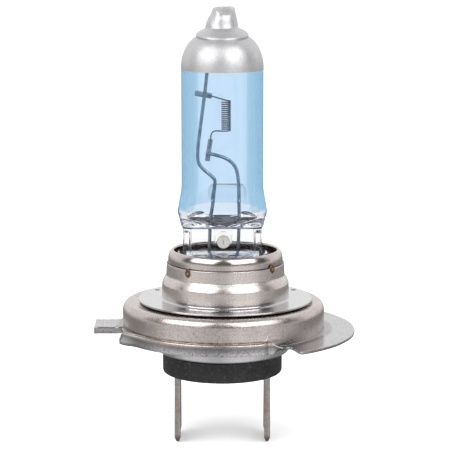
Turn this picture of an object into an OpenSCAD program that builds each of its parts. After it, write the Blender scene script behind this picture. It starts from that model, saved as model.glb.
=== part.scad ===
// Single-filament halogen headlight bulb, millimetres, +Z towards the glass tip.
// The origin lies on the ring's axis, in the plane of the ring's front face.

/* [Alignment] */
// Height of the filament's centre above the ring's front face
light_centre = 25; // [24:0.25:26]
// Sideways place of the filament
filament_x = 0.35; // [0.2:0.05:0.5]
// Sideways place of the glass tube, set when the burner was aligned
glass_x = -0.15; // [-0.3:0.05:0]
// Sideways place of the collar on the ring
collar_x = 0.25; // [0.1:0.05:0.3]
// Sideways play of the base in the ring
base_x = -0.15; // [-0.25:0.05:0]

/* [Glass] */
// Outer radius of the glass tube
tube_r = 5.37; // [5.2:0.05:5.6]
// Wall of the tube
tube_wall = 1.05; // [0.8:0.05:1.2]
// Largest radius, at the bulge over the pinch
bulge_r = 5.85; // [5.7:0.05:6]
// Height of the bulge
bulge_z = 12.1; // [11.9:0.1:12.3]
// Height at which the dome starts
dome_z = 31.3; // [31:0.1:31.6]
// Radius where the dome meets the step under the tip
step_r = 3.4; // [3.2:0.05:3.6]
// Height of the brim around the root of the tip
brim_z = 36.35; // [36.2:0.05:36.5]
// Radius of the exhaust tip at its root
tip_root_r = 2.25; // [2.1:0.05:2.4]
// Radius of the exhaust tip at its end
tip_end_r = 1.62; // [1.5:0.02:1.7]
// Height of the top of the tip
tip_z = 39.2; // [38.8:0.1:39.6]
// Slope of the broken-off face on the tip
break_slope = 30; // [20:1:35]

/* [Coatings] */
// Thickness of the blue filter and of the silver cap
coat_t = 0.05; // [0.03:0.01:0.08]
// Lower edge of the blue filter
filter_z = 12.7; // [12.5:0.1:14]
// Edge between the blue filter and the silver cap
paint_z = 31.05; // [29:0.05:31.2]

/* [Pinch] */
// Width of the flat pressed foot
pinch_w = 10.4; // [10.2:0.1:10.6]
// Thickness of the pressed foot
pinch_t = 3; // [2.8:0.1:3.2]
// Lower end of the foot
pinch_z = -1.2; // [-1.4:0.1:-1]
// Width of the thick rib along each edge
rib_w = 0.9; // [0.7:0.1:1]
// Thickness over the ribs
rib_t = 3.8; // [3.6:0.1:3.8]
// Radius of the round boss on the foot
boss_r = 0.95; // [0.8:0.05:1]

/* [Filament] */
// Outer diameter of the coil
coil_d = 1.32; // [1.2:0.02:1.4]
// Overall length of the coil
coil_len = 4.1; // [3.9:0.05:4.3]
// Full turns in the coil, to which half a turn is added
coil_turns = 14; // [12:1:15]
// Diameter of the tungsten wire
filament_d = 0.18; // [0.14:0.01:0.2]

/* [Supports] */
// Diameter of the two support wires
support_d = 0.45; // [0.4:0.05:0.5]
// Thickness of the clamp plates
clamp_t = 0.25; // [0.15:0.05:0.3]
// Depth of the quartz bridge from front to back
bridge_depth = 2; // [1.6:0.1:2.4]
// Thickness of the foils sealed in the foot
foil_t = 0.06; // [0.04:0.01:0.1]
// Diameter of the leads below the foils
lead_d = 0.7; // [0.6:0.05:0.8]

/* [Collar] */
// Outer radius of the holder cap's wall
cap_r = 7.5; // [7.4:0.05:7.6]
// Top of the holder cap's rolled rim
cap_z = 7.25; // [7.15:0.01:7.35]
// Radius of the opening in the rolled rim
mouth_r = 6.8; // [6.7:0.05:6.9]
// Top edge of the sleeve
sleeve_z = 5.5; // [5.3:0.1:5.6]
// Outer radius of the sleeve's lower part
sleeve_r = 8.42; // [8.3:0.02:8.5]
// Height of the step in the sleeve
sleeve_step_z = 3.9; // [3.7:0.1:4]
// Radius of the sleeve's flange
flange_r = 11.53; // [11.3:0.01:11.7]
// Thickness of the sleeve's sheet metal
sheet_t = 0.5; // [0.4:0.05:0.5]

/* [Ring] */
// Outer radius of the ring's wall
ring_r = 13.4; // [13.2:0.05:13.5]
// Depth of the ring's wall
ring_h = 3; // [2.8:0.1:3.2]
// Radius of the front skirt
skirt_r = 13.95; // [13.8:0.05:14]
// Lower edge of the skirt
skirt_z = -4.3; // [-4.4:0.1:-4.2]
// Radius of the wide lug and reach of the narrow tab
lug_r = 17.5; // [17.2:0.1:17.7]
// Front face of the lug
lug_z = -3.45; // [-3.5:0.05:-3.4]
// Angle at which the lug starts
lug_from = -55.5; // [-58:0.5:-54]
// Angle at which the lug ends
lug_to = 46; // [44:0.5:50]
// Radius of the scallop at each end of the lug
scallop_r = 1; // [0.8:0.1:1.1]
// Width of the narrow tab
tab_w = 5.2; // [4.8:0.1:5.4]

/* [Base] */
// Outer radius of the shell behind the ring
shell_r = 8.7; // [8.6:0.05:8.9]
// Lower edge of the shell
shell_z = -6.4; // [-6.6:0.1:-6.2]
// Radius of the insulator
base_r = 7.96; // [7.9:0.02:8]
// Radius of the insulator's neck inside the shell
neck_r = 7.7; // [7.6:0.05:7.75]
// Lower face of the insulator
base_z = -9.3; // [-9.6:0.1:-9]

/* [Terminals] */
// Distance between the two blades' middle planes
blade_gap = 11.9; // [11.5:0.1:12]
// Width of a blade
blade_w = 6.3; // [6:0.1:6.3]
// Thickness of a blade
blade_t = 0.8; // [0.7:0.05:0.9]
// End of the blades
blade_z = -18.5; // [-19:0.1:-18]

/* [Hidden] */
$fn = 96;
fine_fn = 32;
far = 40;

pinch_top = bulge_z - 2.7;
blend_h = 4;
bore_r = tube_r - tube_wall;
foil_top = 7.4;
foil_foot = 2;
foil_w = 2;
foil_x = 2.4;
lead_turn_z = -1.9;
floor_z = 1.2;
floor_t = 0.35;
clip_z = floor_z + floor_t;
shelf_z = -2.3;
blade_top = -1.4;
neck_gap = 0.15;
wall_inset = 0.2;
weld_angles = [-128.5, -38.5, 51.5, 141.5];
flange_weld_angles = [152, 28, -98];
weld_r = 0.45;
wire_bend = 0.8;

// The bends of the two support wires, from the top down.
long_wire = [[-2.05, 0, 31.6], [-2.45, 0, 28], [-3.38, 0, 20.9], [-3.45, 0, 19.1],
    [-3, 0, 18.2], [-1.3, 0, 16.8], [-1.08, 0, 16.35], [-1.42, 0, 13.1],
    [-1.75, 0, 11.5], [-1.85, 0, foil_top]];
short_wire = [[-2.35, 0, 19.98], [-1.5, 0, 19.95], [0.1, 0, 19.5], [1.15, 0, 18.85],
    [1.75, 0, 17.9], [1.98, 0, 16.4], [2.08, 0, 11.5], [1.95, 0, foil_top]];

// Points along an ellipse's arc in the plane of a profile.
function arc(x, z, a, b, from, to, n = 8) =
    [for (i = [0:n]) let (q = from + (to - from) * i / n) [x + a * cos(q), z + b * sin(q)]];

// Points of a smooth blend from radius r0 at z0 to radius r1 at z1.
function blend(r0, z0, r1, z1, n = 6) =
    [for (i = [1:n - 1]) let (s = i / n) [r0 + (r1 - r0) * (1 - cos(180 * s)) / 2, z0 + (z1 - z0) * s]];

// Outer profile of the glass, grown by t.
function glass_outline(t) = concat(
    [[0, bulge_z - 3 - t]],
    arc(bulge_r - 3.2, bulge_z, 3.2 + t, 3 + t, -90, 0),
    blend(bulge_r + t, bulge_z, tube_r + t, bulge_z + blend_h),
    [[tube_r + t, bulge_z + blend_h]],
    arc(2.4, dome_z, tube_r - 2.4 + t, 4.27 + t, 0, acos((step_r - 2.4) / (tube_r - 2.4))),
    arc(step_r - 0.95, brim_z - 1, 0.95 + t, 1 + t, 5, 85, 6),
    [[tip_root_r + t, brim_z + 0.05 + t], [tip_root_r - 0.08 + t, brim_z + 0.6 + t]],
    arc(tip_end_r - 0.65, tip_z - 0.95, 0.65 + t, 0.95 + t, 0, 90, 6),
    [[0, tip_z + t]]);

// Profile of the gas space inside the tube.
function cavity_outline() = concat(
    arc(2.2, bulge_z + 0.3, bulge_r - tube_wall - 2.3, 2, -90, 0),
    blend(bulge_r - tube_wall - 0.1, bulge_z + 0.3, bore_r, bulge_z + blend_h),
    [[bore_r, bulge_z + blend_h]],
    arc(1.6, dome_z, bore_r - 1.6, 2.9, 0, 90),
    [[0, dome_z + 2.9], [0, bulge_z - 1.7]]);

// Straight round rod between two points.
module rod(a, b, d) {
    v = b - a;
    translate(a)
        rotate([0, acos(v.z / norm(v)), atan2(v.y, v.x)])
            cylinder(h = norm(v), d = d, $fn = fine_fn);
}

function unit(v) = v / norm(v);

// Path with each inner corner replaced by a short curve of reach r.
function rounded(path, r, n = 5) = let (last = len(path) - 1) concat(
    [path[0]],
    [for (i = [1:last - 1])
        let (a = path[i - 1] - path[i], b = path[i + 1] - path[i],
            p = path[i] + unit(a) * min(r, norm(a) * 0.45),
            q = path[i] + unit(b) * min(r, norm(b) * 0.45))
        for (k = [0:n]) let (s = k / n) (1 - s) * (1 - s) * p + 2 * s * (1 - s) * path[i] + s * s * q],
    [path[last]]);

function tangent(path, i) = unit(path[min(i + 1, len(path) - 1)] - path[max(i - 1, 0)]);

// One direction across the path at each point, carried along without twist.
function normals(path, i, n) = i == len(path) ? [] :
    let (t = tangent(path, i), m = unit(n - (n * t) * t)) concat([m], normals(path, i + 1, m));

// Round wire swept along a path, with the given number of sides.
module wire(path, d, start, sides) {
    last = len(path) - 1;
    across = normals(path, 0, start);
    points = [for (i = [0:last]) let (n = across[i], b = cross(tangent(path, i), n))
        for (k = [0:sides - 1]) let (q = 360 * k / sides) path[i] + d / 2 * (cos(q) * n + sin(q) * b)];
    walls = [for (i = [0:last - 1], k = [0:sides - 1]) let (m = (k + 1) % sides)
        for (face = [[i * sides + k, i * sides + m, (i + 1) * sides + m],
            [i * sides + k, (i + 1) * sides + m, (i + 1) * sides + k]]) [face[2], face[1], face[0]]];
    first = [for (k = [0:sides - 1]) k];
    end = [for (k = [sides - 1:-1:0]) last * sides + k];
    polyhedron(points, concat([first], walls, [end]));
}

// Box given by two opposite corners.
module box(low, high) {
    translate(low) cube(high - low);
}

// Everything above the oblique face where the exhaust tube was broken off.
module above_break(t) {
    translate([0, 0, tip_z - 0.62 + t])
        rotate([0, 0, -62])
            rotate([0, break_slope, 0])
                translate([-5, -5, 0]) cube([10, 10, 5]);
}

// Closed glass body with its coat thickness, cut at the tip.
module glass_body(t) {
    difference() {
        rotate_extrude() polygon(glass_outline(t));
        above_break(t);
    }
}

// Flat pressed foot of the glass with its edge ribs and round boss.
module pinch() {
    translate([-pinch_w / 2, -pinch_t / 2, pinch_z]) cube([pinch_w, pinch_t, pinch_top - pinch_z + 0.8]);
    for (side = [-1, 1])
        translate([side * (pinch_w - rib_w) / 2 - rib_w / 2, -rib_t / 2, pinch_z])
            cube([rib_w, rib_t, pinch_top - pinch_z]);
    translate([0, 0, 8.05]) rotate([90, 0, 0]) cylinder(h = 4, r = boss_r, center = true, $fn = fine_fn);
}

module sealing_foil(side) {
    box([side * foil_x - foil_w / 2, -foil_t / 2, foil_foot], [side * foil_x + foil_w / 2, foil_t / 2, foil_top]);
}

module outer_lead(side) {
    reach = side * (blade_gap - blade_t) / 2 + base_x;
    turn = [side * foil_x, 0, lead_turn_z];
    rod([side * foil_x, 0, foil_foot], turn, lead_d);
    translate(turn) sphere(d = lead_d, $fn = fine_fn);
    rod(turn, [reach, 0, lead_turn_z], lead_d);
}

// Hollow quartz bulb, with the channels that the sealed metal fills.
module glass_envelope() {
    color("lightblue", 0.35)
        difference() {
            translate([glass_x, 0, 0])
                difference() {
                    union() {
                        glass_body(0);
                        pinch();
                    }
                    rotate_extrude() polygon(cavity_outline());
                }
            for (path = [long_wire, short_wire]) {
                n = len(path);
                rod(path[n - 2], path[n - 1], support_d);
            }
            for (side = [-1, 1]) {
                sealing_foil(side);
                rod([side * foil_x, 0, foil_foot], [side * foil_x, 0, lead_turn_z], lead_d);
            }
        }
}

// Skin of a coat between two heights.
module coat(low, high) {
    translate([glass_x, 0, 0])
        difference() {
            intersection() {
                glass_body(coat_t);
                translate([0, 0, low]) cylinder(h = high - low, r = far);
            }
            glass_body(0);
        }
}

module blue_filter_coating() {
    color("steelblue", 0.5) coat(filter_z, paint_z);
}

module silver_cap_coating() {
    color("silver") coat(paint_z, tip_z + 1);
}

// Centre line of the coiled wire, from one clamp plate through the turns to the other.
function filament_path() =
    let (turn = 360 * coil_turns + 180, r = (coil_d - filament_d) / 2, n = 12 * (coil_turns + 0.5),
        half = (coil_len - filament_d) / 2, lead_y = (support_d - filament_d) / 2)
    concat(
        rounded([[-2.1, lead_y, 27.62], [-1.3, lead_y, 27.5],
            [filament_x - 0.1, r, light_centre + half + 0.02]], 0.3, 3),
        [for (i = [0:n]) let (q = 90 - turn * i / n)
            [filament_x + r * cos(q), r * sin(q), light_centre + half - 2 * half * i / n]],
        rounded([[filament_x - 0.1, -r, light_centre - half - 0.02], [-1.2, -0.2, light_centre - half],
            [-1.62, lead_y, light_centre - half - 0.4], [-1.85, lead_y, 20.55]], 0.3, 3));

module filament_coil() {
    color("dimgray") wire(filament_path(), filament_d, [0, 0, 1], 6);
}

// Flat metal plate that stands behind a wire, turned about the Y axis.
module clamp_plate(centre, size, tilt) {
    translate([centre.x, support_d / 2 + clamp_t / 2, centre.y])
        rotate([0, tilt, 0]) cube([size.x, clamp_t, size.y], center = true);
}

module upper_filament_clamp() {
    color("slategray") clamp_plate([-2.68, 27.74], [2.35, 0.72], 9.7);
}

module lower_filament_clamp() {
    color("slategray") clamp_plate([-1.93, 20.4], [0.65, 2.95], 8.3);
}

module long_support_wire() {
    color("slategray") wire(rounded(long_wire, wire_bend), support_d, [0, 1, 0], 16);
}

module short_support_wire() {
    color("slategray") wire(rounded(short_wire, wire_bend), support_d, [0, 1, 0], 16);
}

// Rounded block of clear quartz that ties the two support wires together.
module quartz_bridge() {
    low = [-2.05, 13.45];
    high = [3.05, 16.05];
    round_r = 0.6;
    color("lightcyan", 0.35)
        difference() {
            union() {
                box([low.x + round_r, -bridge_depth / 2, low.y], [high.x - round_r, bridge_depth / 2, high.y]);
                box([low.x, -bridge_depth / 2, low.y + round_r], [high.x, bridge_depth / 2, high.y - round_r]);
                for (x = [low.x + round_r, high.x - round_r], z = [low.y + round_r, high.y - round_r])
                    translate([x, 0, z]) rotate([90, 0, 0])
                        cylinder(h = bridge_depth, r = round_r, center = true, $fn = fine_fn);
            }
            rod(long_wire[6], long_wire[7], support_d);
            rod(short_wire[5], short_wire[6], support_d);
        }
}

module left_sealing_foil() {
    color("gray") sealing_foil(-1);
}

module right_sealing_foil() {
    color("gray") sealing_foil(1);
}

module left_outer_lead() {
    color("gray") outer_lead(-1);
}

module right_outer_lead() {
    color("gray") outer_lead(1);
}

// Opening that fits around the pressed foot.
module foot_slot(low, high) {
    box([glass_x - pinch_w / 2, -rib_t / 2, low], [glass_x + pinch_w / 2, rib_t / 2, high]);
}

// Spring clip on the cap's floor: two bent side tabs, a flat leaf on each face of the foot,
// and a shelf in front of the foot, level with the rim.
module pinch_clip() {
    tab_t = 0.3;
    shelf_top = cap_z - 0.3;
    shelf_t = 0.3;
    color("darkgray") {
        difference() {
            translate([collar_x, 0, clip_z]) cylinder(h = 0.35, r = cap_r - 0.4);
            foot_slot(floor_z, sleeve_z);
        }
        for (side = [-1, 1]) {
            edge = glass_x + side * (pinch_w + tab_t) / 2;
            box([edge - tab_t / 2, -1.1, clip_z], [edge + tab_t / 2, 1.1, 6.2]);
            translate([edge, 0, 6.2]) rotate([0, side * 35, 0]) translate([-tab_t / 2, -1.1, -0.1])
                cube([tab_t, 2.2, 1]);
            box([glass_x - 3, side * pinch_t / 2 + min(side, 0) * 0.4, clip_z],
                [glass_x + 3, side * pinch_t / 2 + max(side, 0) * 0.4, side < 0 ? shelf_top : 5]);
        }
        intersection() {
            translate([collar_x, 0, shelf_top - shelf_t]) cylinder(h = shelf_t, r = mouth_r - 0.05);
            box([glass_x - 4.7, -far, 0], [glass_x + 4.8, -rib_t / 2, far]);
        }
    }
}

// Cup with a rolled rim that holds the clip and the glass foot.
module holder_cap() {
    rim_r = (cap_r - mouth_r) / 2;
    wall_t = 0.36;
    color("silver")
        difference() {
            translate([collar_x, 0, 0]) rotate_extrude() polygon(concat(
                [[0, floor_z], [cap_r, floor_z]],
                arc(cap_r - rim_r, cap_z - 0.75, rim_r, 0.75, 0, 180, 12),
                [[mouth_r, cap_z - 0.95], [cap_r - wall_t, cap_z - 1.2], [cap_r - wall_t, clip_z],
                    [0, clip_z]]));
            foot_slot(0, sleeve_z);
        }
}

// Outer profile of the sleeve, from its top edge down to the flange.
function sleeve_outline() = concat(
    [[cap_r + 0.28, sleeve_z], [cap_r + 0.43, sleeve_step_z]],
    blend(cap_r + 0.43, sleeve_step_z, sleeve_r, sleeve_step_z - 0.5, 4),
    [[sleeve_r, sleeve_step_z - 0.5]],
    arc(sleeve_r + 0.45, sheet_t + 0.45, -0.45, -0.45, 0, 90, 4),
    arc(flange_r - 0.12, sheet_t - 0.12, 0.12, 0.12, 90, 0, 3),
    [[flange_r, 0]]);

// Stepped sleeve with the flange that is welded to the ring.
module sleeve_body() {
    translate([collar_x, 0, 0]) rotate_extrude() polygon(concat(
        sleeve_outline(),
        [[sleeve_r - 0.42, 0], [sleeve_r - 0.42, sleeve_step_z - 0.9], [cap_r, sleeve_step_z - 0.55],
            [cap_r, sleeve_z]]));
}

module collar_sleeve() {
    color("silver") sleeve_body();
}

// Small welds between the sleeve and the holder cap.
module collar_weld_spots() {
    color("peru")
        difference() {
            for (a = weld_angles)
                translate([collar_x, 0, sleeve_z - 0.45]) rotate([0, 90, a])
                    translate([0, 0, cap_r + 0.1]) cylinder(h = 0.32, r = weld_r, $fn = fine_fn);
            translate([collar_x, 0, 0]) rotate_extrude()
                polygon(concat([[0, sleeve_z]], sleeve_outline(), [[0, 0]]));
        }
}

// Small welds through the sleeve's flange into the ring, low beads on its top.
module flange_weld_spots() {
    color("peru")
        for (a = flange_weld_angles)
            translate([collar_x, 0, sheet_t]) rotate([0, 0, a])
                translate([flange_r - 1.1, 0, 0]) cylinder(h = 0.06, r = weld_r, $fn = fine_fn);
}

// Part of the ring turned between two angles.
module sector(from, to, profile) {
    rotate([0, 0, from]) rotate_extrude(angle = to - from) polygon(profile);
}

// Narrow tab with its edges folded down.
module narrow_tab() {
    low_y = -0.3;
    reach = [-lug_r + 0.2, -ring_r + 0.3];
    box([reach.x, low_y, lug_z - 0.3], [reach.y, low_y + tab_w, lug_z + 0.15]);
    for (y = [low_y, low_y + tab_w - sheet_t])
        box([reach.x, y, lug_z - 0.8], [reach.y, y + sheet_t, lug_z]);
}

// Pressed ring that sets the bulb in a reflector, with its lug, tab and skirt.
module reference_ring() {
    inner_r = ring_r - sheet_t;
    round_r = 0.45;
    root_z = 0.5 - ring_h;
    skirt = [[inner_r + 0.1, root_z], [ring_r - wall_inset, root_z], [ring_r - wall_inset, -ring_h],
        [skirt_r, -ring_h - 0.35], [skirt_r, skirt_z], [skirt_r - sheet_t, skirt_z],
        [inner_r + 0.1, -ring_h - 0.4]];
    lug = [[inner_r + 0.1, root_z], [ring_r - wall_inset, root_z], [ring_r - wall_inset, lug_z + 0.35],
        [ring_r + 0.05, lug_z + 0.12], [ring_r + 0.3, lug_z], [lug_r, lug_z],
        [lug_r, lug_z - sheet_t], [inner_r + 0.1, lug_z - sheet_t]];
    tab_root = [[inner_r + 0.05, root_z], [ring_r - wall_inset - 0.05, root_z],
        [ring_r - wall_inset - 0.05, lug_z - 0.2], [inner_r + 0.05, lug_z - 0.2]];
    color("silver") {
        rotate_extrude() polygon(concat(
            [[base_r, 0]],
            arc(ring_r - round_r, -round_r, round_r, round_r, 90, 0, 5),
            [[ring_r, -ring_h], [inner_r, -ring_h], [inner_r, -sheet_t], [base_r, -sheet_t]]));
        sector(181, 360 + lug_from - 1.5, skirt);
        sector(lug_to + 1.5, 158, skirt);
        sector(157, 182, tab_root);
        difference() {
            sector(lug_from, lug_to, lug);
            for (a = [lug_from + 0.9, lug_to - 0.9])
                rotate([0, 0, a]) translate([ring_r + scallop_r + 0.15, 0, lug_z - 2])
                    cylinder(h = 4, r = scallop_r, $fn = fine_fn);
        }
        narrow_tab();
    }
}

// Shell behind the ring that grips the insulator.
module base_shell() {
    color("lightgray")
        difference() {
            rotate_extrude() polygon([[0, -sheet_t], [ring_r - sheet_t, -sheet_t], [ring_r - sheet_t, -1.1],
                [shell_r + 0.5, -1.1], [shell_r, -1.6], [shell_r, shell_z + 0.2],
                [shell_r - 0.2, shell_z], [0, shell_z]]);
            translate([base_x, 0, shell_z - 1]) cylinder(h = far, r = neck_r);
        }
}

// Slot that a terminal blade fills.
module blade_place(side) {
    translate([base_x + side * blade_gap / 2, 0, 0]) children();
}

// Round block that carries the two blades.
module base_insulator() {
    edge = 0.35;
    color([0.2, 0.19, 0.2])
        difference() {
            translate([base_x, 0, 0]) rotate_extrude() polygon([[0, shelf_z], [neck_r, shelf_z],
                [neck_r, shell_z - neck_gap], [base_r, shell_z - neck_gap],
                [base_r, base_z + edge], [base_r - edge, base_z], [0, base_z]]);
            for (side = [-1, 1])
                blade_place(side) translate([-blade_t / 2, -blade_w / 2, base_z - 1]) cube([blade_t, blade_w, far]);
        }
}

// Flat blade with its end cut to a lead-in.
module terminal_blade(side) {
    corner = 0.9;
    lead_in = 0.22;
    half_w = blade_w / 2;
    half_t = blade_t / 2;
    color("silver")
        blade_place(side)
            intersection() {
                rotate([90, 0, 90]) linear_extrude(blade_t, center = true)
                    polygon([[-half_w, blade_top], [half_w, blade_top], [half_w, blade_z + corner],
                        [half_w - corner, blade_z], [corner - half_w, blade_z], [-half_w, blade_z + corner]]);
                rotate([90, 0, 0]) linear_extrude(2 * blade_w, center = true)
                    polygon([[-half_t, blade_top], [half_t, blade_top], [half_t, blade_z + 3 * lead_in],
                        [half_t - lead_in, blade_z], [lead_in - half_t, blade_z], [-half_t, blade_z + 3 * lead_in]]);
            }
}

module left_terminal_blade() {
    terminal_blade(-1);
}

module right_terminal_blade() {
    terminal_blade(1);
}

glass_envelope();
blue_filter_coating();
silver_cap_coating();
filament_coil();
upper_filament_clamp();
lower_filament_clamp();
long_support_wire();
short_support_wire();
quartz_bridge();
left_sealing_foil();
right_sealing_foil();
left_outer_lead();
right_outer_lead();
pinch_clip();
holder_cap();
collar_sleeve();
collar_weld_spots();
flange_weld_spots();
reference_ring();
base_shell();
base_insulator();
left_terminal_blade();
right_terminal_blade();
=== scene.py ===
"""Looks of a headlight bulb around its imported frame.

The makers work in millimetres in the row frame, and mesh_piece() turns them into metres.
"""

from math import acos, cos, degrees, hypot, pi, radians, sin, sqrt

import bmesh
import bpy
from mathutils import Matrix, Vector, noise


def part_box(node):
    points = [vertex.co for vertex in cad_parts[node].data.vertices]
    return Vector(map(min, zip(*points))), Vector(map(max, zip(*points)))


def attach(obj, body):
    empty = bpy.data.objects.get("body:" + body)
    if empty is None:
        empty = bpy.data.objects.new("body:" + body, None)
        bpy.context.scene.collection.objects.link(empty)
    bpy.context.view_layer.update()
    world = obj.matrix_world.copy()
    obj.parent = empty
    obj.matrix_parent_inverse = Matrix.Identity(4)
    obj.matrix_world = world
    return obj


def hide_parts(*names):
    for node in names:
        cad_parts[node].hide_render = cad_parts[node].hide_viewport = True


MM = 0.001
FULL = 2 * pi
NEARLY_ZERO = 1e-6

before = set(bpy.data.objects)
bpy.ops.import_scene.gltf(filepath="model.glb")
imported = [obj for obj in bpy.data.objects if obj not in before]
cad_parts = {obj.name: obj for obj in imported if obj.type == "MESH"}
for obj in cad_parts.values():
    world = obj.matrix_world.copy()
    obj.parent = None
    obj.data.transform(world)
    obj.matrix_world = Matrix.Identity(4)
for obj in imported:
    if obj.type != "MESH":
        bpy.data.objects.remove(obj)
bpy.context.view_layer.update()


def node_box(name):
    """Corners of a CAD node's box in millimetres."""
    low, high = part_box(name)
    return low / MM, high / MM


# ---------------------------------------------------------------- measures

GLASS_LOW, GLASS_HIGH = node_box("glass_envelope")
SILVER_LOW, SILVER_HIGH = node_box("silver_cap_coating")
CAP_LOW, CAP_HIGH = node_box("holder_cap")
SLEEVE_LOW, SLEEVE_HIGH = node_box("collar_sleeve")
BASE_LOW, BASE_HIGH = node_box("base_insulator")
BRIDGE_LOW, BRIDGE_HIGH = node_box("quartz_bridge")

SLOTS = 256
GLASS_X = (GLASS_LOW.x + GLASS_HIGH.x) / 2
COLLAR_X = (CAP_LOW.x + CAP_HIGH.x) / 2
BASE_X = (BASE_LOW.x + BASE_HIGH.x) / 2
BULGE_R = (GLASS_HIGH.x - GLASS_LOW.x) / 2
FILTER_Z = node_box("blue_filter_coating")[0].z
PAINT_Z = SILVER_LOW.z
COAT_T = SILVER_HIGH.z - GLASS_HIGH.z
FILM_IN = 0.012
PAINT_IN = 0.004
LINE_SHEET_IN = 0.012
LINE_SHEET_OUT = 0.04

TUBE_R = 5.37
TUBE_WALL = 1.05
BULGE_Z = 12.1
GAS_FLOOR_Z = BULGE_Z - 1.02
BLEND_Z = BULGE_Z + 4
DOME_Z = 31.3
DOME_H = 4.27
DOME_CORNER = 2.4
STEP_R = 3.4
BRIM_Z = 36.35
TIP_Z = 39.2
TIP_TOP_R = 1.39
TIP_EDGE = 0.22
SCOOP = Vector((0.6, -1.75, TIP_Z + 0.93))
SCOOP_R = 2.0
FOOT_HALF_W = 5.2
FOOT_HALF_T = 1.5
FOOT_LOW_Z = -1.2
FOOT_TOP_Z = 10.15
BOSS_R = 0.95
BOSS_X = GLASS_X + 0.15
BOSS_Z = 8.45
SUPPORT_D = 0.45
FILAMENT_D = 0.18
COIL_D = 1.32
COIL_LEN = 4.1
COIL_TURNS = 14.5
LIGHT_CENTRE = 25.0
FILAMENT_X = 0.35
CAP_R = 7.5
CAP_Z = CAP_HIGH.z
MOUTH_R = 6.8
CAP_FLOOR_R = 5.6
CAP_WALL = 0.36
CLIP_LOW_Z = 1.9
SLEEVE_Z = SLEEVE_HIGH.z
SLEEVE_STEP_Z = 3.9
SLEEVE_R = 8.42
FLANGE_R = (SLEEVE_HIGH.x - SLEEVE_LOW.x) / 2
DISC_Z = 0.72
DISC_T = 0.24
RING_R = 13.4
RING_TOP_Z = 0.28
SKIRT_R = 13.95
SHELF_DROP_Z = -2.82
SKIRT_LOW_Z = -4.28
LUG_R = node_box("reference_ring")[1].x
LUG_Z = -3.45
TAB_LOW_Y = -0.3
TAB_HIGH_Y = 4.9
SHELL_R = 8.7
SHELL_Z = node_box("base_shell")[0].z
BASE_R = 7.96
BLADE_X = 5.95
BLADE_HALF_W = 3.15
BLADE_HALF_T = 0.4
BLADE_TOP = -1.4
BLADE_END = node_box("left_terminal_blade")[0].z
NECK_R = 7.7
BASE_Z = BASE_LOW.z
SHELF_Z = BASE_HIGH.z

# ---------------------------------------------------------------- mesh makers


def mesh_piece(name, verts, faces, crease=35, material=None, hollow_from=None):
    """A mesh object from points in millimetres, smooth except where faces meet at more than
    crease degrees. The faces from hollow_from on bound a gas space inside it.
    """
    mesh = bpy.data.meshes.new(name)
    mesh.from_pydata([Vector(v) * MM for v in verts], [], faces)
    work = bmesh.new()
    work.from_mesh(mesh)
    work.faces.ensure_lookup_table()
    inner = [] if hollow_from is None else list(work.faces)[hollow_from:]
    bmesh.ops.remove_doubles(work, verts=work.verts, dist=1e-7)
    bmesh.ops.dissolve_degenerate(work, edges=work.edges, dist=1e-8)
    bmesh.ops.recalc_face_normals(work, faces=work.faces)
    bmesh.ops.reverse_faces(work, faces=[f for f in inner if f.is_valid])
    work.to_mesh(mesh)
    work.free()
    mesh.polygons.foreach_set("use_smooth", [True] * len(mesh.polygons))
    mesh.set_sharp_from_angle(angle=radians(crease))
    piece = bpy.data.objects.new(name, mesh)
    bpy.context.scene.collection.objects.link(piece)
    if material is not None:
        mesh.materials.append(material)
    return piece


def put(name, part, crease, material, node=None, hollow_from=None):
    """Makes a piece of the bulb from its points and faces.

    It rides the one body, and stands in for a CAD node if one is named.
    """
    piece = mesh_piece(name, *part, crease, material, hollow_from)
    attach(piece, "root")
    if node is not None:
        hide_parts(node)


def bands(rows, slots, first=0, ring=True, loop=False, back=False):
    """Faces between neighbouring rows of slots points.

    ring closes each row, loop joins the last row to the first, and back turns the faces over.
    """
    faces = []
    for j in range(rows if loop else rows - 1):
        a, b = first + j * slots, first + (j + 1) % rows * slots
        for k in range(slots if ring else slots - 1):
            m = (k + 1) % slots
            faces.append((a + k, b + k, b + m, a + m) if back else (a + k, a + m, b + m, b + k))
    return faces


def lids(rows, slots):
    """Faces over the first and the last of the rows."""
    last = range((rows - 1) * slots, rows * slots)
    return [tuple(range(slots)), tuple(reversed(last))]


def arc(x, z, a, b, start, end, n=10):
    """Points along an ellipse's arc in the plane of a profile, angles in degrees."""
    angles = [radians(start + (end - start) * i / n) for i in range(n + 1)]
    return [(x + a * cos(q), z + b * sin(q)) for q in angles]


def blend(r0, z0, r1, z1, n=12):
    """Points of a smooth change of radius, both ends included."""
    return [
        (r0 + (r1 - r0) * (1 - cos(pi * i / n)) / 2, z0 + (z1 - z0) * i / n) for i in range(n + 1)
    ]


def bent(before, corner, after, reach, share, n):
    """Points of a short curve in place of a corner.

    It starts at reach from the corner, or at a share of the way to the next point.
    """
    a, b = before - corner, after - corner
    start = corner + a.normalized() * min(reach, a.length * share)
    end = corner + b.normalized() * min(reach, b.length * share)
    steps = [k / n for k in range(n + 1)]
    return [(1 - s) ** 2 * start + 2 * s * (1 - s) * corner + s * s * end for s in steps]


def softened(points, reach, n=4):
    """The same closed outline with each corner turned into a short curve."""
    points = [Vector(p) for p in points]
    out = []
    for i, p in enumerate(points):
        before, after = points[i - 1], points[(i + 1) % len(points)]
        if min((before - p).length, (after - p).length) >= NEARLY_ZERO:
            out += [tuple(c) for c in bent(before, p, after, reach, 0.4, n)]
    return out


def rectangle(x0, z0, x1, z1, reach, n):
    """Outline of a rectangle with softened corners, from two opposite ones."""
    return softened([(x0, z0), (x1, z0), (x1, z1), (x0, z1)], reach, n)


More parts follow.
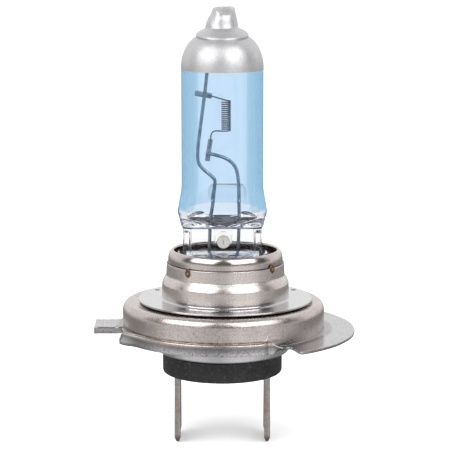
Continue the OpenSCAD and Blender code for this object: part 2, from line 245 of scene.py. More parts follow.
def rounded(path, reach, n=8):
    """Path with each inner corner replaced by a short curve."""
    path = [Vector(p) for p in path]
    out = [path[0]]
    for before, p, after in zip(path, path[1:], path[2:]):
        out += bent(before, p, after, reach, 0.45, n)
    return out + [path[-1]]


def turned(profile, centre_x, steps=SLOTS, wobble=None):
    """Points and faces of a solid of revolution.

    A profile that starts and ends on the axis has poles; any other is a closed loop.
    """
    verts = []
    for k in range(steps):
        q = FULL * k / steps
        for r, z in profile:
            if wobble is not None:
                r, z = wobble(r, z, q)
            verts.append((centre_x + r * cos(q), r * sin(q), z))
    ring = profile[0][0] > NEARLY_ZERO
    return verts, bands(steps, len(profile), ring=ring, loop=True, back=True)


def swept(path, radius, sides=20, across=Vector((0, 1, 0))):
    """Points and faces of a round wire along a path of 3-D points."""
    path = [Vector(p) for p in path]
    verts = []
    last = len(path) - 1
    for i, p in enumerate(path):
        t = (path[min(i + 1, last)] - path[max(i - 1, 0)]).normalized()
        across = (across - across.dot(t) * t).normalized()
        other = t.cross(across)
        r = radius(i / last) if callable(radius) else radius
        for k in range(sides):
            q = FULL * k / sides
            verts.append(p + r * (cos(q) * across + sin(q) * other))
    return verts, bands(last + 1, sides) + lids(last + 1, sides)


def prism(outline, depth, n=3, edge=0.04):
    """Points and faces of a plate: a closed outline in X and Z, thick along Y from -depth/2 to
    depth/2, its rims rounded.
    """
    count = len(outline)
    middle = Vector([sum(axis) / count for axis in zip(*outline)])
    rings = []
    for side in (-1, 1):
        for k in range(n + 1):
            q = pi / 2 * (k if side < 0 else n - k) / n
            rings.append((edge * (1 - sin(q)), side * (depth / 2 - edge * (1 - cos(q)))))
    verts = []
    for shrink, y in rings:
        for i in range(count):
            p = Vector(outline[i])
            t = (Vector(outline[(i + 1) % count]) - Vector(outline[i - 1])).normalized()
            inward = Vector((-t.y, t.x))
            if inward.dot(middle - p) < 0:
                inward = -inward
            p = p + inward * shrink
            verts.append((p.x, y, p.y))
    return verts, bands(len(rings), count) + lids(len(rings), count)


def joined(*parts):
    """Several (points, faces) pairs as one."""
    verts, faces = [], []
    for v, f in parts:
        base = len(verts)
        verts += list(v)
        faces += [tuple(base + i for i in face) for face in f]
    return verts, faces


def moved(part, matrix):
    verts, faces = part
    return [matrix @ Vector(v) for v in verts], faces


def shift(x, y, z):
    return Matrix.Translation((x, y, z))


def spin(angle, axis):
    return Matrix.Rotation(radians(angle), 4, axis)


def rough(x, y, z):
    """Smooth noise at a place, about -1 to 1."""
    return noise.noise(Vector((x, y, z)))


def clamped(x):
    return max(0.0, min(1.0, x))


def smooth(low, high, x):
    """0 at low and before it, 1 at high and past it, smooth between them; low may be the
    greater.
    """
    s = clamped((x - low) / (high - low))
    return s * s * (3 - 2 * s)


# ---------------------------------------------------------------- materials


def opaque(colour):
    return (*colour[:3], 1.0)


class Nodes:
    """Builds a node tree. An input that is a socket is linked, and any other value is set."""

    mixes, steps = "FLOAT", "SMOOTHSTEP"

    def __init__(self, tree):
        self.nodes, self.links = tree.nodes, tree.links
        self.nodes.clear()

    def feed(self, socket, value):
        if isinstance(value, bpy.types.NodeSocket):
            self.links.new(value, socket)
        else:
            socket.default_value = opaque(value) if isinstance(value, tuple) else value

    def node(self, kind, settings=None, inputs=None):
        made = self.nodes.new(kind)
        for key, value in (settings or {}).items():
            setattr(made, key, value)
        for key, value in (inputs or {}).items():
            self.feed(made.inputs[key], value)
        return made

    def math(self, operation, a, b=0.0):
        return self.node("ShaderNodeMath", {"operation": operation}, {0: a, 1: b}).outputs[0]

    def times(self, a, b):
        return self.math("MULTIPLY", a, b)

    def plus(self, a, b):
        return self.math("ADD", a, b)

    def off(self, value, target):
        """How far a value is from a target, either way."""
        return self.math("ABSOLUTE", self.plus(value, -target))

    def radius(self, x, y):
        return self.math("SQRT", self.plus(self.times(x, x), self.times(y, y)))

    def span(self, value, from_low, from_high, to_low=0.0, to_high=1.0):
        keys = ("Value", "From Min", "From Max", "To Min", "To Max")
        limits = dict(zip(keys, (value, from_low, from_high, to_low, to_high)))
        return self.node(
            "ShaderNodeMapRange", {"interpolation_type": self.steps}, limits
        ).outputs[0]

    def mix(self, share, a, b):
        made = self.node("ShaderNodeMix", {"data_type": self.mixes})
        for key, value in (("Factor", share), ("A", a), ("B", b)):
            self.feed(made.inputs[key], value)
        return made.outputs["Result"]


class Shader(Nodes):
    """A node material that is built from its surface towards its coordinates."""

    mixes, steps = "RGBA", "LINEAR"

    def __init__(self, name):
        self.material = bpy.data.materials.new(name)
        self.material.use_nodes = True
        super().__init__(self.material.node_tree)
        self.place = self.node("ShaderNodeTexCoord").outputs["Object"]
        self.split = None

    def axes(self):
        if self.split is None:
            self.split = self.node("ShaderNodeSeparateXYZ", inputs={0: self.place}).outputs
        return self.split

    def lathe(self, around, along):
        """Coordinates that change slowly round the Z axis and fast along a profile, as turning
        marks do.
        """
        x, y, z = self.axes()
        r = self.math("MAXIMUM", self.radius(x, y), 1e-5)
        parts = [self.times(self.math("DIVIDE", axis, r), around) for axis in (x, y)]
        parts.append(self.times(self.plus(r, z), along))
        return self.node("ShaderNodeCombineXYZ", inputs=dict(enumerate(parts))).outputs[0]

    def stretched(self, x, y, z):
        made = self.node("ShaderNodeMapping", {"vector_type": "POINT"}, {"Vector": self.place})
        made.inputs["Scale"].default_value = (x, y, z)
        return made.outputs[0]

    def noise(self, scale, detail=4.0, roughness=0.55, vector=None, distortion=0.0):
        inputs = {
            "Scale": scale, "Detail": detail, "Roughness": roughness, "Distortion": distortion
        }
        inputs["Vector"] = self.place if vector is None else vector
        return self.node("ShaderNodeTexNoise", inputs=inputs).outputs["Fac"]

    def cells(self, scale, feature="F1", vector=None):
        inputs = {"Vector": self.place if vector is None else vector, "Scale": scale}
        return self.node("ShaderNodeTexVoronoi", {"feature": feature}, inputs).outputs["Distance"]

    def spread(self, value, low, high):
        """The usual range of a noise mapped onto low to high."""
        return self.span(value, 0.3, 0.7, low, high)

    def slant(self):
        """0 where the surface faces the viewer and 1 where it is seen edge on."""
        return self.node("ShaderNodeLayerWeight", inputs={"Blend": 0.5}).outputs["Facing"]

    def ramp(self, value, *stops):
        made = self.node("ShaderNodeValToRGB", inputs={0: value})
        band = made.color_ramp
        while len(band.elements) > 1:
            band.elements.remove(band.elements[-1])
        band.elements[0].position, band.elements[0].color = stops[0][0], opaque(stops[0][1])
        for position, colour in stops[1:]:
            band.elements.new(position).color = opaque(colour)
        return made.outputs[0]

    def mask(self, value, low, high, start=0.0, end=1.0):
        """Grey ramp that is start up to low, and end from high on."""
        return self.ramp(value, (low, (start,) * 3), (high, (end,) * 3))

    def bump(self, height, depth, strength=1.0, normal=None):
        """depth is the relief's height in metres."""
        inputs = {"Height": height, "Distance": depth, "Strength": strength}
        if normal is not None:
            inputs["Normal"] = normal
        return self.node("ShaderNodeBump", inputs=inputs).outputs[0]

    def principled(self, **inputs):
        inputs = {key.replace("_", " "): value for key, value in inputs.items()}
        return self.node("ShaderNodeBsdfPrincipled", inputs=inputs).outputs[0]

    def finish(self, surface):
        self.node("ShaderNodeOutputMaterial", inputs={"Surface": surface})
        return self.material

    def coat(self, **inputs):
        """The finished material, with one principled surface."""
        return self.finish(self.principled(**inputs))

    def film(self, tint, share, **gloss):
        """The finished material of a clear tinted film with a share of gloss on it."""
        clear = self.node("ShaderNodeBsdfTransparent", inputs={"Color": tint}).outputs[0]
        inputs = {0: share, 1: clear, 2: self.principled(**gloss)}
        return self.finish(self.node("ShaderNodeMixShader", inputs=inputs).outputs[0])


def sheet_metal(
    name, light, dark, rough=(0.24, 0.36), grain=2.2e-6, turning=0.0, grain_scale=5200, stain=None,
    scratches=0.0, polished_below=None, polished_tones=((0.46, 0.455, 0.465), (0.62, 0.61, 0.62)),
    polish=0.45, crease=None
):
    """Satin sheet metal: mottled tone, fine grain, turning marks, small scratches and stains.

    Below the height polished_below it is smoother and more neutral; with crease given, its
    polished part near the axis, the skirt's lip and the lug beside the wall, is darkened as
    painted shade. Around the height crease a thin band is darker and browner.
    """
    s = Shader(name)
    height = s.axes()[2]
    broad = s.noise(260, 5.0, 0.6)
    fine = s.noise(grain_scale, 3.0, 0.6)
    colour = s.mix(s.mask(broad, 0.35, 0.66), dark, light)
    colour = s.mix(0.7, colour, s.ramp(fine, (0.39, dark), (0.57, light)))
    if stain is not None:
        spots = s.noise(900, 6.0, 0.7)
        colour = s.mix(s.mask(spots, 0.62, 0.74, end=0.7), colour, stain)
    roughness = s.spread(s.noise(700, 4.0, 0.6), rough[0], rough[1])
    normal = s.bump(fine, grain)
    if polished_below is not None:
        flat = s.span(height, polished_below, polished_below + 0.0003, 1.0, 0.0)
        roughness = s.times(roughness, s.span(flat, 0.0, 1.0, 1.0, polish))
        bright = s.mix(s.mask(fine, 0.36, 0.6), *polished_tones)
        if crease is not None:
            # Painted shade: within 14.2 mm of the axis the polished part is darkened, most at its
            # top, so the skirt's lip and the lug beside the wall look dark.
            reach = s.radius(*s.axes()[:2])
            lip = s.times(
                s.span(reach, 0.0142, 0.0147, 1.0, 0.0),
                s.span(height, crease - 0.0014, crease - 0.0005, 0.0, 0.85)
            )
            bright = s.mix(lip, bright, (0.10, 0.096, 0.102))
            specks = s.mask(s.noise(2900, 3.0, 0.6), 0.60, 0.67, end=0.75)
            bright = s.mix(specks, bright, (0.12, 0.11, 0.115))
        colour = s.mix(flat, colour, bright)
    if crease is not None:
        # A thin band along the height crease is made darker and browner, in patches.
        near = s.span(s.off(height, crease), 0.00003, 0.00022, 1.0, 0.0)
        patchy = s.mask(s.noise(1300, 4.0, 0.65), 0.36, 0.6)
        near = s.times(near, s.span(s.axes()[0], 0.0055, 0.0075, 1.0, 0.0))
        colour = s.mix(
            s.times(near, s.span(patchy, 0.0, 1.0, 0.55, 0.95)), colour, (0.09, 0.055, 0.045)
        )
    if turning:
        lines = s.noise(1.0, 2.0, 0.5, vector=s.lathe(2.5, 9000))
        normal = s.bump(lines, turning, normal=normal)
        colour = s.mix(s.mask(lines, 0.35, 0.6, 0.22, 0.0), colour, dark)
    if scratches:
        lines = s.cells(1.0, "DISTANCE_TO_EDGE", vector=s.stretched(420, 1900, 900))
        cut = s.mask(lines, 0.0, 0.035)
        normal = s.bump(cut, scratches, normal=normal)
    return s.coat(Base_Color=colour, Metallic=1.0, Roughness=roughness, Normal=normal)


def painted_reflection_clip_metal():
    """Bright spring steel with painted blue and dark reflections in uneven patches."""
    s = Shader("spring_clip")
    broad = s.noise(520, 4.0, 0.6)
    fine = s.noise(2600, 4.0, 0.6)
    # Painted reflection: the blue and the dark patches stand in for the blue film and the dark the
    # clip mirrors.
    colour = s.ramp(
        broad, (0.36, (0.08, 0.10, 0.15)), (0.42, (0.34, 0.42, 0.60)), (0.50, (0.72, 0.75, 0.82)),
        (0.60, (0.80, 0.80, 0.82)), (0.66, (0.30, 0.33, 0.40))
    )
    colour = s.mix(s.mask(fine, 0.40, 0.55, 0.35, 0.0), colour, (0.20, 0.22, 0.27))
    return s.coat(
        Base_Color=colour, Metallic=1.0, Roughness=s.spread(fine, 0.05, 0.16),
        Normal=s.bump(broad, 6e-5, normal=s.bump(fine, 4e-6))
    )


def glass_material(name, tint=(1.0, 1.0, 1.0), ior=1.46, wave=1.5e-6):
    """Clear fused quartz with faint draw lines along the tube."""
    s = Shader(name)
    lines = s.noise(1.0, 2.0, 0.5, vector=s.stretched(900, 900, 60))
    ripple = s.noise(180, 2.0, 0.5)
    normal = s.bump(ripple, wave * 3, normal=s.bump(lines, wave))
    return s.coat(Base_Color=tint, Roughness=0.0, IOR=ior, Transmission_Weight=1.0, Normal=normal,)


def blue_filter_material():
    """Thin clear blue film, deeper where it is seen at a slant, with streaks from its dip
    coating.
    """
    s = Shader("blue_film")
    slant = s.slant()
    streaks = s.noise(1.0, 3.0, 0.5, vector=s.stretched(260, 260, 40))
    tint = s.ramp(
        slant, (0.12, (0.880, 0.940, 0.992)), (0.28, (0.812, 0.912, 0.975)),
        (0.7, (0.77, 0.89, 0.965))
    )
    tint = s.mix(s.mask(streaks, 0.4, 0.7, end=0.14), tint, (0.82, 0.915, 0.98))
    share = s.span(slant, 0.0, 1.0, 0.012, 0.05)
    rough = s.spread(streaks, 0.03, 0.09)
    return s.film(tint, share, Base_Color=(0.42, 0.62, 0.86), Roughness=rough, IOR=1.5)


def painted_edge_line_material():
    """Thin film under the bulge with painted dark-blue refraction lines: clear from the front and
    deep blue at a slant.
    """
    s = Shader("painted_blue_edge_lines")
    slant = s.slant()
    patch = s.noise(700, 3.0, 0.6)
    reach = s.times(slant, s.spread(patch, 0.85, 1.1))
    # Painted refraction lines: the tint turns deep blue where the shoulder is seen at a slant.
    tint = s.ramp(
        reach, (0.62, (0.995, 0.997, 1.0)), (0.78, (0.86, 0.92, 0.99)), (0.88, (0.42, 0.55, 0.88)),
        (0.95, (0.12, 0.20, 0.60))
    )
    rough = s.spread(patch, 0.04, 0.1)
    return s.film(tint, 0.01, Base_Color=(0.5, 0.6, 0.85), Roughness=rough, IOR=1.46)


def silver_paint_material():
    """Grainy aluminium paint, brushed on by dipping."""
    s = Shader("silver_paint")
    flake = s.noise(5200, 3.0, 0.65)
    patch = s.noise(420, 4.0, 0.6)
    colour = s.mix(patch, (0.47, 0.465, 0.475), (0.60, 0.595, 0.605))
    colour = s.mix(s.mask(flake, 0.34, 0.52, 0.45, 0.0), colour, (0.33, 0.325, 0.335))
    rough = s.spread(s.noise(900, 3.0, 0.5), 0.39, 0.47)
    normal = s.bump(flake, 0.7e-5, normal=s.bump(patch, 2.4e-5))
    return s.coat(Base_Color=colour, Metallic=0.9, Roughness=rough, Normal=normal)


def wire_material(name, light, dark, rough=(0.22, 0.34)):
    """Drawn wire: lengthwise die lines and a mottled oxide tone."""
    s = Shader(name)
    lines = s.noise(1.0, 3.0, 0.6, vector=s.stretched(9000, 9000, 500))
    patch = s.noise(1400, 4.0, 0.6)
    colour = s.mix(s.mask(patch, 0.35, 0.65), dark, light)
    return s.coat(
        Base_Color=colour, Metallic=1.0, Roughness=s.spread(lines, rough[0], rough[1]),
        Normal=s.bump(lines, 1.5e-6)
    )


def weld_material(name, centres, radius):
    """Heat-tinted weld: pale in the middle and brown towards its rim, by the distance from the
    nearest of the weld centres.
    """
    s = Shader(name)
    patch = s.noise(3600, 4.0, 0.6)
    near = None
    for centre in centres:
        away = s.node(
            "ShaderNodeVectorMath", {"operation": "DISTANCE"}, {0: s.place, 1: centre}
        ).outputs["Value"]
        near = away if near is None else s.math("MINIMUM", near, away)
    tone = s.plus(s.span(near, 0.0, radius), s.span(patch, 0.2, 0.8, -0.16, 0.16))
    colour = s.ramp(
        tone, (0.12, (0.46, 0.36, 0.29)), (0.34, (0.26, 0.16, 0.11)), (0.56, (0.095, 0.045, 0.025)),
        (0.95, (0.15, 0.08, 0.045))
    )
    return s.coat(
        Base_Color=colour, Metallic=0.8, Roughness=s.spread(patch, 0.30, 0.5),
        Normal=s.bump(patch, 1.2e-5)
    )


def plastic_material():
    """Matte black moulded thermoset with pits, darkened inside as painted shade, and a few paler
    specks.
    """
    s = Shader("black_moulding")
    fine = s.noise(4200, 4.0, 0.65)
    pits = s.cells(1500)
    specks = s.noise(2300, 2.0, 0.5)
    colour = s.mix(
        s.mask(s.noise(500, 3.0, 0.6), 0.35, 0.7), (0.010, 0.0098, 0.0102), (0.019, 0.0185, 0.019)
    )
    # Painted shade: the pits are darker than the surface round them.
    colour = s.mix(s.mask(pits, 0.13, 0.24, 0.95, 0.0), colour, (0.003, 0.003, 0.003))
    colour = s.mix(s.mask(specks, 0.60, 0.68, end=0.6), colour, (0.05, 0.049, 0.051))
    dent = s.mask(pits, 0.08, 0.22)
    normal = s.bump(fine, 1.2e-5, normal=s.bump(dent, 3e-5))
    return s.coat(
        Base_Color=colour, Roughness=s.spread(fine, 0.48, 0.68), Specular_IOR_Level=0.36,
        Normal=normal
    )


def blade_material():
    """Tinned brass: pale tin with fine grain, worn to a coppery tone half way down."""
    s = Shader("tinned_blade")
    grain = s.noise(5200, 4.0, 0.65)
    lines = s.noise(1.0, 3.0, 0.55, vector=s.stretched(7000, 5000, 420))
    patch = s.noise(650, 4.0, 0.6)
    tin = s.mix(s.mask(grain, 0.34, 0.62), (0.27, 0.24, 0.232), (0.46, 0.425, 0.415))
    worn = s.times(
        s.mask(patch, 0.47, 0.62), s.span(s.off(s.axes()[2], -0.0137), 0.001, 0.003, 0.85, 0.0)
    )
    colour = s.mix(worn, tin, (0.36, 0.235, 0.175))
    normal = s.bump(lines, 2.5e-6, normal=s.bump(grain, 6e-6))
    return s.coat(
        Base_Color=colour, Metallic=1.0, Roughness=s.spread(lines, 0.26, 0.40), Normal=normal
    )


def frosted_material():
    """Fused frosted quartz of the boss pressed into the foot."""
    s = Shader("frosted_quartz")
    grain = s.noise(6000, 3.0, 0.6)
    x, _, z = s.axes()
    mark = s.span(s.off(x, BOSS_X * MM), 0.00004, 0.00011, 0.85, 0.0)
    high = s.span(s.off(z, BOSS_Z * MM), 0.00020, 0.00032, 1.0, 0.0)
    mark = s.times(mark, high)
    colour = s.mix(mark, s.mix(grain, (0.56, 0.53, 0.50), (0.68, 0.655, 0.63)), (0.30, 0.19, 0.14))
    return s.coat(
        Base_Color=colour, Transmission_Weight=0.12, Roughness=s.spread(grain, 0.45, 0.65),
        Normal=s.bump(grain, 8e-6)
    )


def painted_shade_floor_material():
    """Painted shade for the floor of the gas space: dark and glassy, with painted highlight
    streaks along its folds.
    """
    s = Shader("painted_shade_quartz")
    folds_and_painted_streaks = s.noise(1.0, 4.0, 0.6, vector=s.stretched(420, 1100, 800), distortion=1.2)
    fine = s.noise(2600, 3.0, 0.6)
    # Painted shade: near black, with pale streaks along the fold ridges as painted highlights.
    colour = s.ramp(
        folds_and_painted_streaks, (0.38, (0.008, 0.008, 0.010)), (0.52, (0.022, 0.022, 0.027)),
        (0.60, (0.14, 0.14, 0.165)), (0.66, (0.02, 0.02, 0.025))
    )
    colour = s.mix(s.mask(fine, 0.40, 0.66, end=0.45), colour, (0.012, 0.012, 0.016))
    return s.coat(
        Base_Color=colour, Roughness=s.spread(fine, 0.16, 0.34), IOR=1.06,
        Normal=s.bump(folds_and_painted_streaks, 6e-5)
    )


quartz = glass_material("clear_quartz")
shade_floor_paint = painted_shade_floor_material()
bridge_glass = glass_material("bridge_quartz", (0.95, 0.975, 0.99), 1.28, 4e-6)
film = blue_filter_material()
painted_edge_line_film = painted_edge_line_material()
paint = silver_paint_material()
moly = wire_material("molybdenum_wire", (0.26, 0.31, 0.36), (0.11, 0.145, 0.18))
plate_moly = wire_material("molybdenum_plate", (0.36, 0.37, 0.38), (0.20, 0.21, 0.22), (0.28, 0.42))
tungsten = wire_material("tungsten_wire", (0.16, 0.16, 0.17), (0.06, 0.06, 0.065), (0.35, 0.5))
foil_metal = sheet_metal("sealing_foil", (0.50, 0.50, 0.52), (0.36, 0.36, 0.37))
lead_metal = wire_material("outer_lead", (0.55, 0.53, 0.50), (0.38, 0.36, 0.34))
clip_metal = painted_reflection_clip_metal()
cap_metal = sheet_metal(
    "holder_cap_steel", (0.60, 0.55, 0.53), (0.42, 0.375, 0.355), (0.15, 0.22), 4.0e-6,
    turning=6e-7, grain_scale=6400
)
sleeve_metal = sheet_metal(
    "sleeve_steel", (0.69, 0.635, 0.61), (0.46, 0.415, 0.39), (0.24, 0.34), 6.0e-6, turning=6e-7,
    grain_scale=6400, polished_below=0.001
)
ring_metal = sheet_metal(
    "ring_steel", (0.64, 0.575, 0.555), (0.40, 0.35, 0.335), (0.22, 0.32), 3.6e-6, turning=2.2e-6,
    grain_scale=6400, stain=(0.20, 0.155, 0.125), scratches=3e-6, polished_below=-0.0033,
    polished_tones=((0.30, 0.29, 0.30), (0.55, 0.54, 0.55)), polish=0.65, crease=-0.00266
)
shell_metal = sheet_metal(
    "shell_steel", (0.66, 0.65, 0.67), (0.50, 0.49, 0.51), (0.26, 0.38), 2.2e-6, turning=6e-7
)
black = plastic_material()
blade_metal = blade_material()
frosted = frosted_material()

# ---------------------------------------------------------------- glass


def glass_profile(grow, droop=0.0):
    """Outer profile of the tube above the bulge, from there up to the axis.

    droop is 1 where the brim over the dome hangs lowest.
    """
    step_r = STEP_R + 0.52 * droop
    turn = degrees(acos((step_r - DOME_CORNER) / (TUBE_R - DOME_CORNER)))
    groove_z = DOME_Z + DOME_H * sin(radians(turn))
    sink = groove_z - DOME_Z - DOME_H * sin(acos((STEP_R - DOME_CORNER) / (TUBE_R - DOME_CORNER)))
    return (
        blend(BULGE_R + grow, BULGE_Z, TUBE_R + grow, BLEND_Z, 16)
        + [(TUBE_R + grow, z) for z in (17.5, 19, 21, 23, 25, 27, 29, 30.4)]
        + arc(DOME_CORNER, DOME_Z, TUBE_R - DOME_CORNER + grow, DOME_H + grow, 0, turn - 1.5, 22)
        + [(step_r - 0.04 + grow, groove_z + 0.02), (step_r - 0.035 + grow, groove_z + 0.06)]
        + [
            (r + grow + (step_r - STEP_R) * hang, z + grow + sink * hang)
            for r, z, hang in (
                (r, z, (1 - smooth(35.42, 36.3, z)) ** 1.3)
                for r, z in (
                    (3.385, 35.42), (3.41, 35.5), (3.39, 35.6), (3.32, 35.72), (3.18, 35.86),
                    (3.0, 36.0), (2.78, 36.14), (2.54, 36.25), (2.33, 36.33), (2.2, 36.4),
                    (2.14, 36.5), (2.11, 36.62), (2.07, 36.8), (2.02, 37.0), (1.95, 37.3),
                    (1.86, 37.6), (1.76, 37.9), (1.65, 38.2), (1.55, 38.45), (1.46, 38.7),
                    (1.40, 38.84)
                )
            )
        ]
        + arc(
            TIP_TOP_R - TIP_EDGE, TIP_Z - 0.02 - TIP_EDGE, TIP_EDGE + grow, TIP_EDGE + grow, 15, 90,
            6
        )
        + [(TIP_TOP_R - TIP_EDGE - 0.2 * k, TIP_Z - 0.02 + grow) for k in (1, 2, 3, 4, 5)]
        + [(0, TIP_Z - 0.02 + grow)]
    )


def hanging(profile, low_profile):
    """Loops of points of a profile that turns into low_profile at the front."""
    loops = []
    for (r0, z0), (r1, z1) in zip(profile, low_profile):
        loop = []
        for k in range(SLOTS):
            q = FULL * k / SLOTS
            share = max(0.0, -sin(q)) ** 1.5
            r, z = r0 + (r1 - r0) * share, z0 + (z1 - z0) * share
            loop.append(Vector((GLASS_X + r * cos(q), r * sin(q), z)))
        loops.append(loop)
    return loops


def broken(p, grow):
    """Leans the tip a little and hollows the rough face where the exhaust tube was broken off."""
    if p.z < BRIM_Z:
        return p
    lean = 0.22 * smooth(BRIM_Z + 0.3, TIP_Z, p.z) - 0.06
    p = p + Vector((lean * smooth(BRIM_Z, BRIM_Z + 0.3, p.z), 0, 0))
    wrinkle = noise.noise(p * 1.1)
    p = p + Vector((0.05 * wrinkle, 0.07 * wrinkle, 0)) * smooth(BRIM_Z + 0.2, BRIM_Z + 1, p.z)
    if p.z < TIP_Z - 1.2:
        return p
    centre = SCOOP + Vector((GLASS_X, 0, grow))
    flat = hypot(p.x - centre.x, p.y - centre.y)
    chip = 0.035 * noise.noise(p * 2.3) + 0.015 * noise.noise(p * 6.0)
    floor_z = centre.z - sqrt(max(0.0, SCOOP_R**2 - flat**2)) + chip
    back = 0.08 * smooth(0.2, 1.2, p.y) + 0.12 * (1 - smooth(-1.3, -0.5, p.x))
    return Vector((p.x, p.y, min(p.z - back, floor_z)))


SHOULDER = (
    (0.0, 0.0), (0.01, 0.04), (0.03, 0.075), (0.07, 0.13), (0.12, 0.21), (0.18, 0.33), (0.23, 0.46),
    (0.27, 0.58), (0.305, 0.70), (0.335, 0.80), (0.36, 0.87), (0.385, 0.915), (0.41, 0.942),
    (0.44, 0.96), (0.48, 0.973), (0.54, 0.983), (0.64, 0.990), (0.8, 0.996), (1.0, 1.0)
)
SHOULDER_LEVELS = [FOOT_TOP_Z + (BULGE_Z - FOOT_TOP_Z) * s for s, _ in SHOULDER]
FOOT_LEVELS = [
    FOOT_LOW_Z, FOOT_LOW_Z + 0.1, 0, 1.5, 3, 4.5, 6, 7, 7.8, 8.4, 8.8, 9.05, 9.3, 9.5, 9.65, 9.8,
    9.92, 10.05
]


def foot_half(z):
    """Half width, half depth and squareness of the glass between the foot and the bulge: a full
    shoulder that turns in sharply above the foot.
    """
    s = clamped((z - FOOT_TOP_Z) / (BULGE_Z - FOOT_TOP_Z))
    full = 1.0
    for (s0, d0), (s1, d1) in zip(SHOULDER, SHOULDER[1:]):
        if s0 <= s <= s1:
            full = d0 + (d1 - d0) * (s - s0) / (s1 - s0)
            break
    depth = FOOT_HALF_T + (BULGE_R - FOOT_HALF_T) * full
    width = FOOT_HALF_W + (BULGE_R - FOOT_HALF_W) * s**1.15
    square = 2 + 8 * (1 - s) ** 2.2
    return width, depth, square


def foot_section(z, grow=0.0):
    """One level of the foot and shoulder as a loop of points."""
    width, depth, square = foot_half(z)
    rib = 1 - smooth(FOOT_TOP_Z - 0.7, FOOT_TOP_Z + 0.1, z)
    ring = []
    for k in range(SLOTS):
        q = FULL * k / SLOTS
        xi, side = cos(q), (1 if sin(q) >= 0 else -1)
        y = depth * (max(0.0, 1 - abs(xi) ** square)) ** (1 / square)
        x = width * xi
        edge = smooth(4.12, 4.42, abs(x))
        panel = smooth(1.12, 0.98, abs(x - 0.1)) if abs(x) < 2 else 0
        y *= 1 + rib * (0.26 * edge + 0.07 * panel)
        ring.append(Vector((GLASS_X + x * (1 + grow / width), side * (y + grow), z)))
    return ring


def glass_skin():
    """Outer skin of the glass from the foot to the tip."""
    levels = [foot_section(z) for z in FOOT_LEVELS + SHOULDER_LEVELS]
    for loop in hanging(glass_profile(0), glass_profile(0, 1.0))[1:-1]:
        levels.append([broken(p, 0) for p in loop])
    rows = len(levels)
    verts = [p for level in levels for p in level] + [broken(Vector((GLASS_X, 0, TIP_Z)), 0)]
    foot = tuple(range(SLOTS - 1, -1, -1))
    rim = range((rows - 1) * SLOTS, rows * SLOTS)
    fan = [(a, b, rows * SLOTS) for a, b in zip(rim, [*rim[1:], rim[0]])]
    return verts, bands(rows, SLOTS) + [foot] + fan


def ragged(r, z, q):
    """A point of the gas space's wall, uneven where the pinch closed the tube."""
    place = Vector((r * cos(q), r * sin(q), 3.7))
    drop = 0.16 * noise.noise(place * 0.8) + 0.06 * noise.noise(place * 2.6)
    return r, z + drop * (1 - smooth(GAS_FLOOR_Z + 0.1, BULGE_Z + 0.2, z))


def gas_space():
    """Inner wall of the glass: a bore with a domed top and a flat, slightly ragged floor."""
    bore = TUBE_R - TUBE_WALL
    floor_z = GAS_FLOOR_Z
    reach = BULGE_R - TUBE_WALL + 0.08
    profile = (
        [(0, floor_z), (1.2, floor_z), (2.4, floor_z), (3.4, floor_z), (4.1, floor_z)]
        + arc(reach - 0.42, floor_z + 0.42, 0.42, 0.42, -90, 0, 8)
        + blend(reach, floor_z + 0.5, bore, BLEND_Z, 16)[1:]
        + [(bore, z) for z in (18, 21, 24, 27, 30)] + arc(1.6, DOME_Z, bore - 1.6, 2.9, 0, 90, 16)
        + [(0, DOME_Z + 2.9)]
    )
    return turned(profile, GLASS_X, 192, ragged)


def two_skins(low, high, inner, outer, tip=False):
    """A thin coat between two heights of the glass, closed at its edges."""

    def cut(profile):
        out = []
        for i, (r, z) in enumerate(profile):
            if low <= z <= high:
                out.append((r, z))
            if i + 1 < len(profile):
                r2, z2 = profile[i + 1]
                for edge in (low, high):
                    if (z - edge) * (z2 - edge) < 0:
                        s = (edge - z) / (z2 - z)
                        out.append((r + (r2 - r) * s, edge))
        return out if tip else sorted(out, key=lambda p: p[1])

    rings = []
    for grow, step in ((inner, -1), (outer, 1)):
        loops = hanging(cut(glass_profile(grow)), cut(glass_profile(grow, 1.0)))[::step]
        rings += [[broken(p, grow) if tip else p for p in loop] for loop in loops]
    verts = [p for ring in rings for p in ring]
    return verts, bands(len(rings), SLOTS, loop=not tip)


def painted_shade_floor_sheet():
    """Closed thin sheet on the floor of the gas space, lifted into low folds, that carries painted
    shade there.
    """
    reach = BULGE_R - TUBE_WALL - 0.30
    steps, rings = 160, 22
    verts = []
    for lift in (0.03, 0.06):
        for j in range(rings + 1):
            for k in range(steps):
                q = FULL * k / steps
                uneven = rough(3 * cos(q), 3 * sin(q), 0)
                r = reach * (1 + 0.02 * sin(5 * q) + 0.03 * uneven) * j / rings
                r, z = ragged(r, GAS_FLOOR_Z + lift, q)
                x, y = r * cos(q), r * sin(q)
                fold = 0.1 * max(0.0, rough(x * 0.8, y * 2.2, 9.1))
                verts.append((GLASS_X + x, y, z + fold))
    layer = (rings + 1) * steps
    faces = bands(rings + 1, steps, back=True) + bands(rings + 1, steps, layer, back=True)
    rim = range(rings * steps, layer)
    faces += [(a, layer + a, layer + b, b) for a, b in zip(rim, [*rim[1:], rim[0]])]
    return verts, faces


def shoulder_line_sheet():
    """Closed thin shell over the shoulder, from the top of the foot to the lower edge of the
    blue film.
    """
    rings = [foot_section(z, LINE_SHEET_IN) for z in SHOULDER_LEVELS[::-1]]
    rings += [foot_section(z, LINE_SHEET_OUT) for z in SHOULDER_LEVELS]
    lift = FILTER_Z - BULGE_Z - 0.02
    for grow, steps in ((LINE_SHEET_OUT, (1, 2, 3)), (LINE_SHEET_IN, (3, 2, 1))):
        for k in steps:
            rise = Vector((0, 0, lift * k / 3))
            rings.append([p + rise for p in foot_section(BULGE_Z, grow)])
    return [p for ring in rings for p in ring], bands(len(rings), SLOTS, loop=True)


skin = glass_skin()
put(
    "glass_bulb", joined(skin, gas_space()), 50, quartz, "glass_envelope",
    hollow_from=len(skin[1])
)
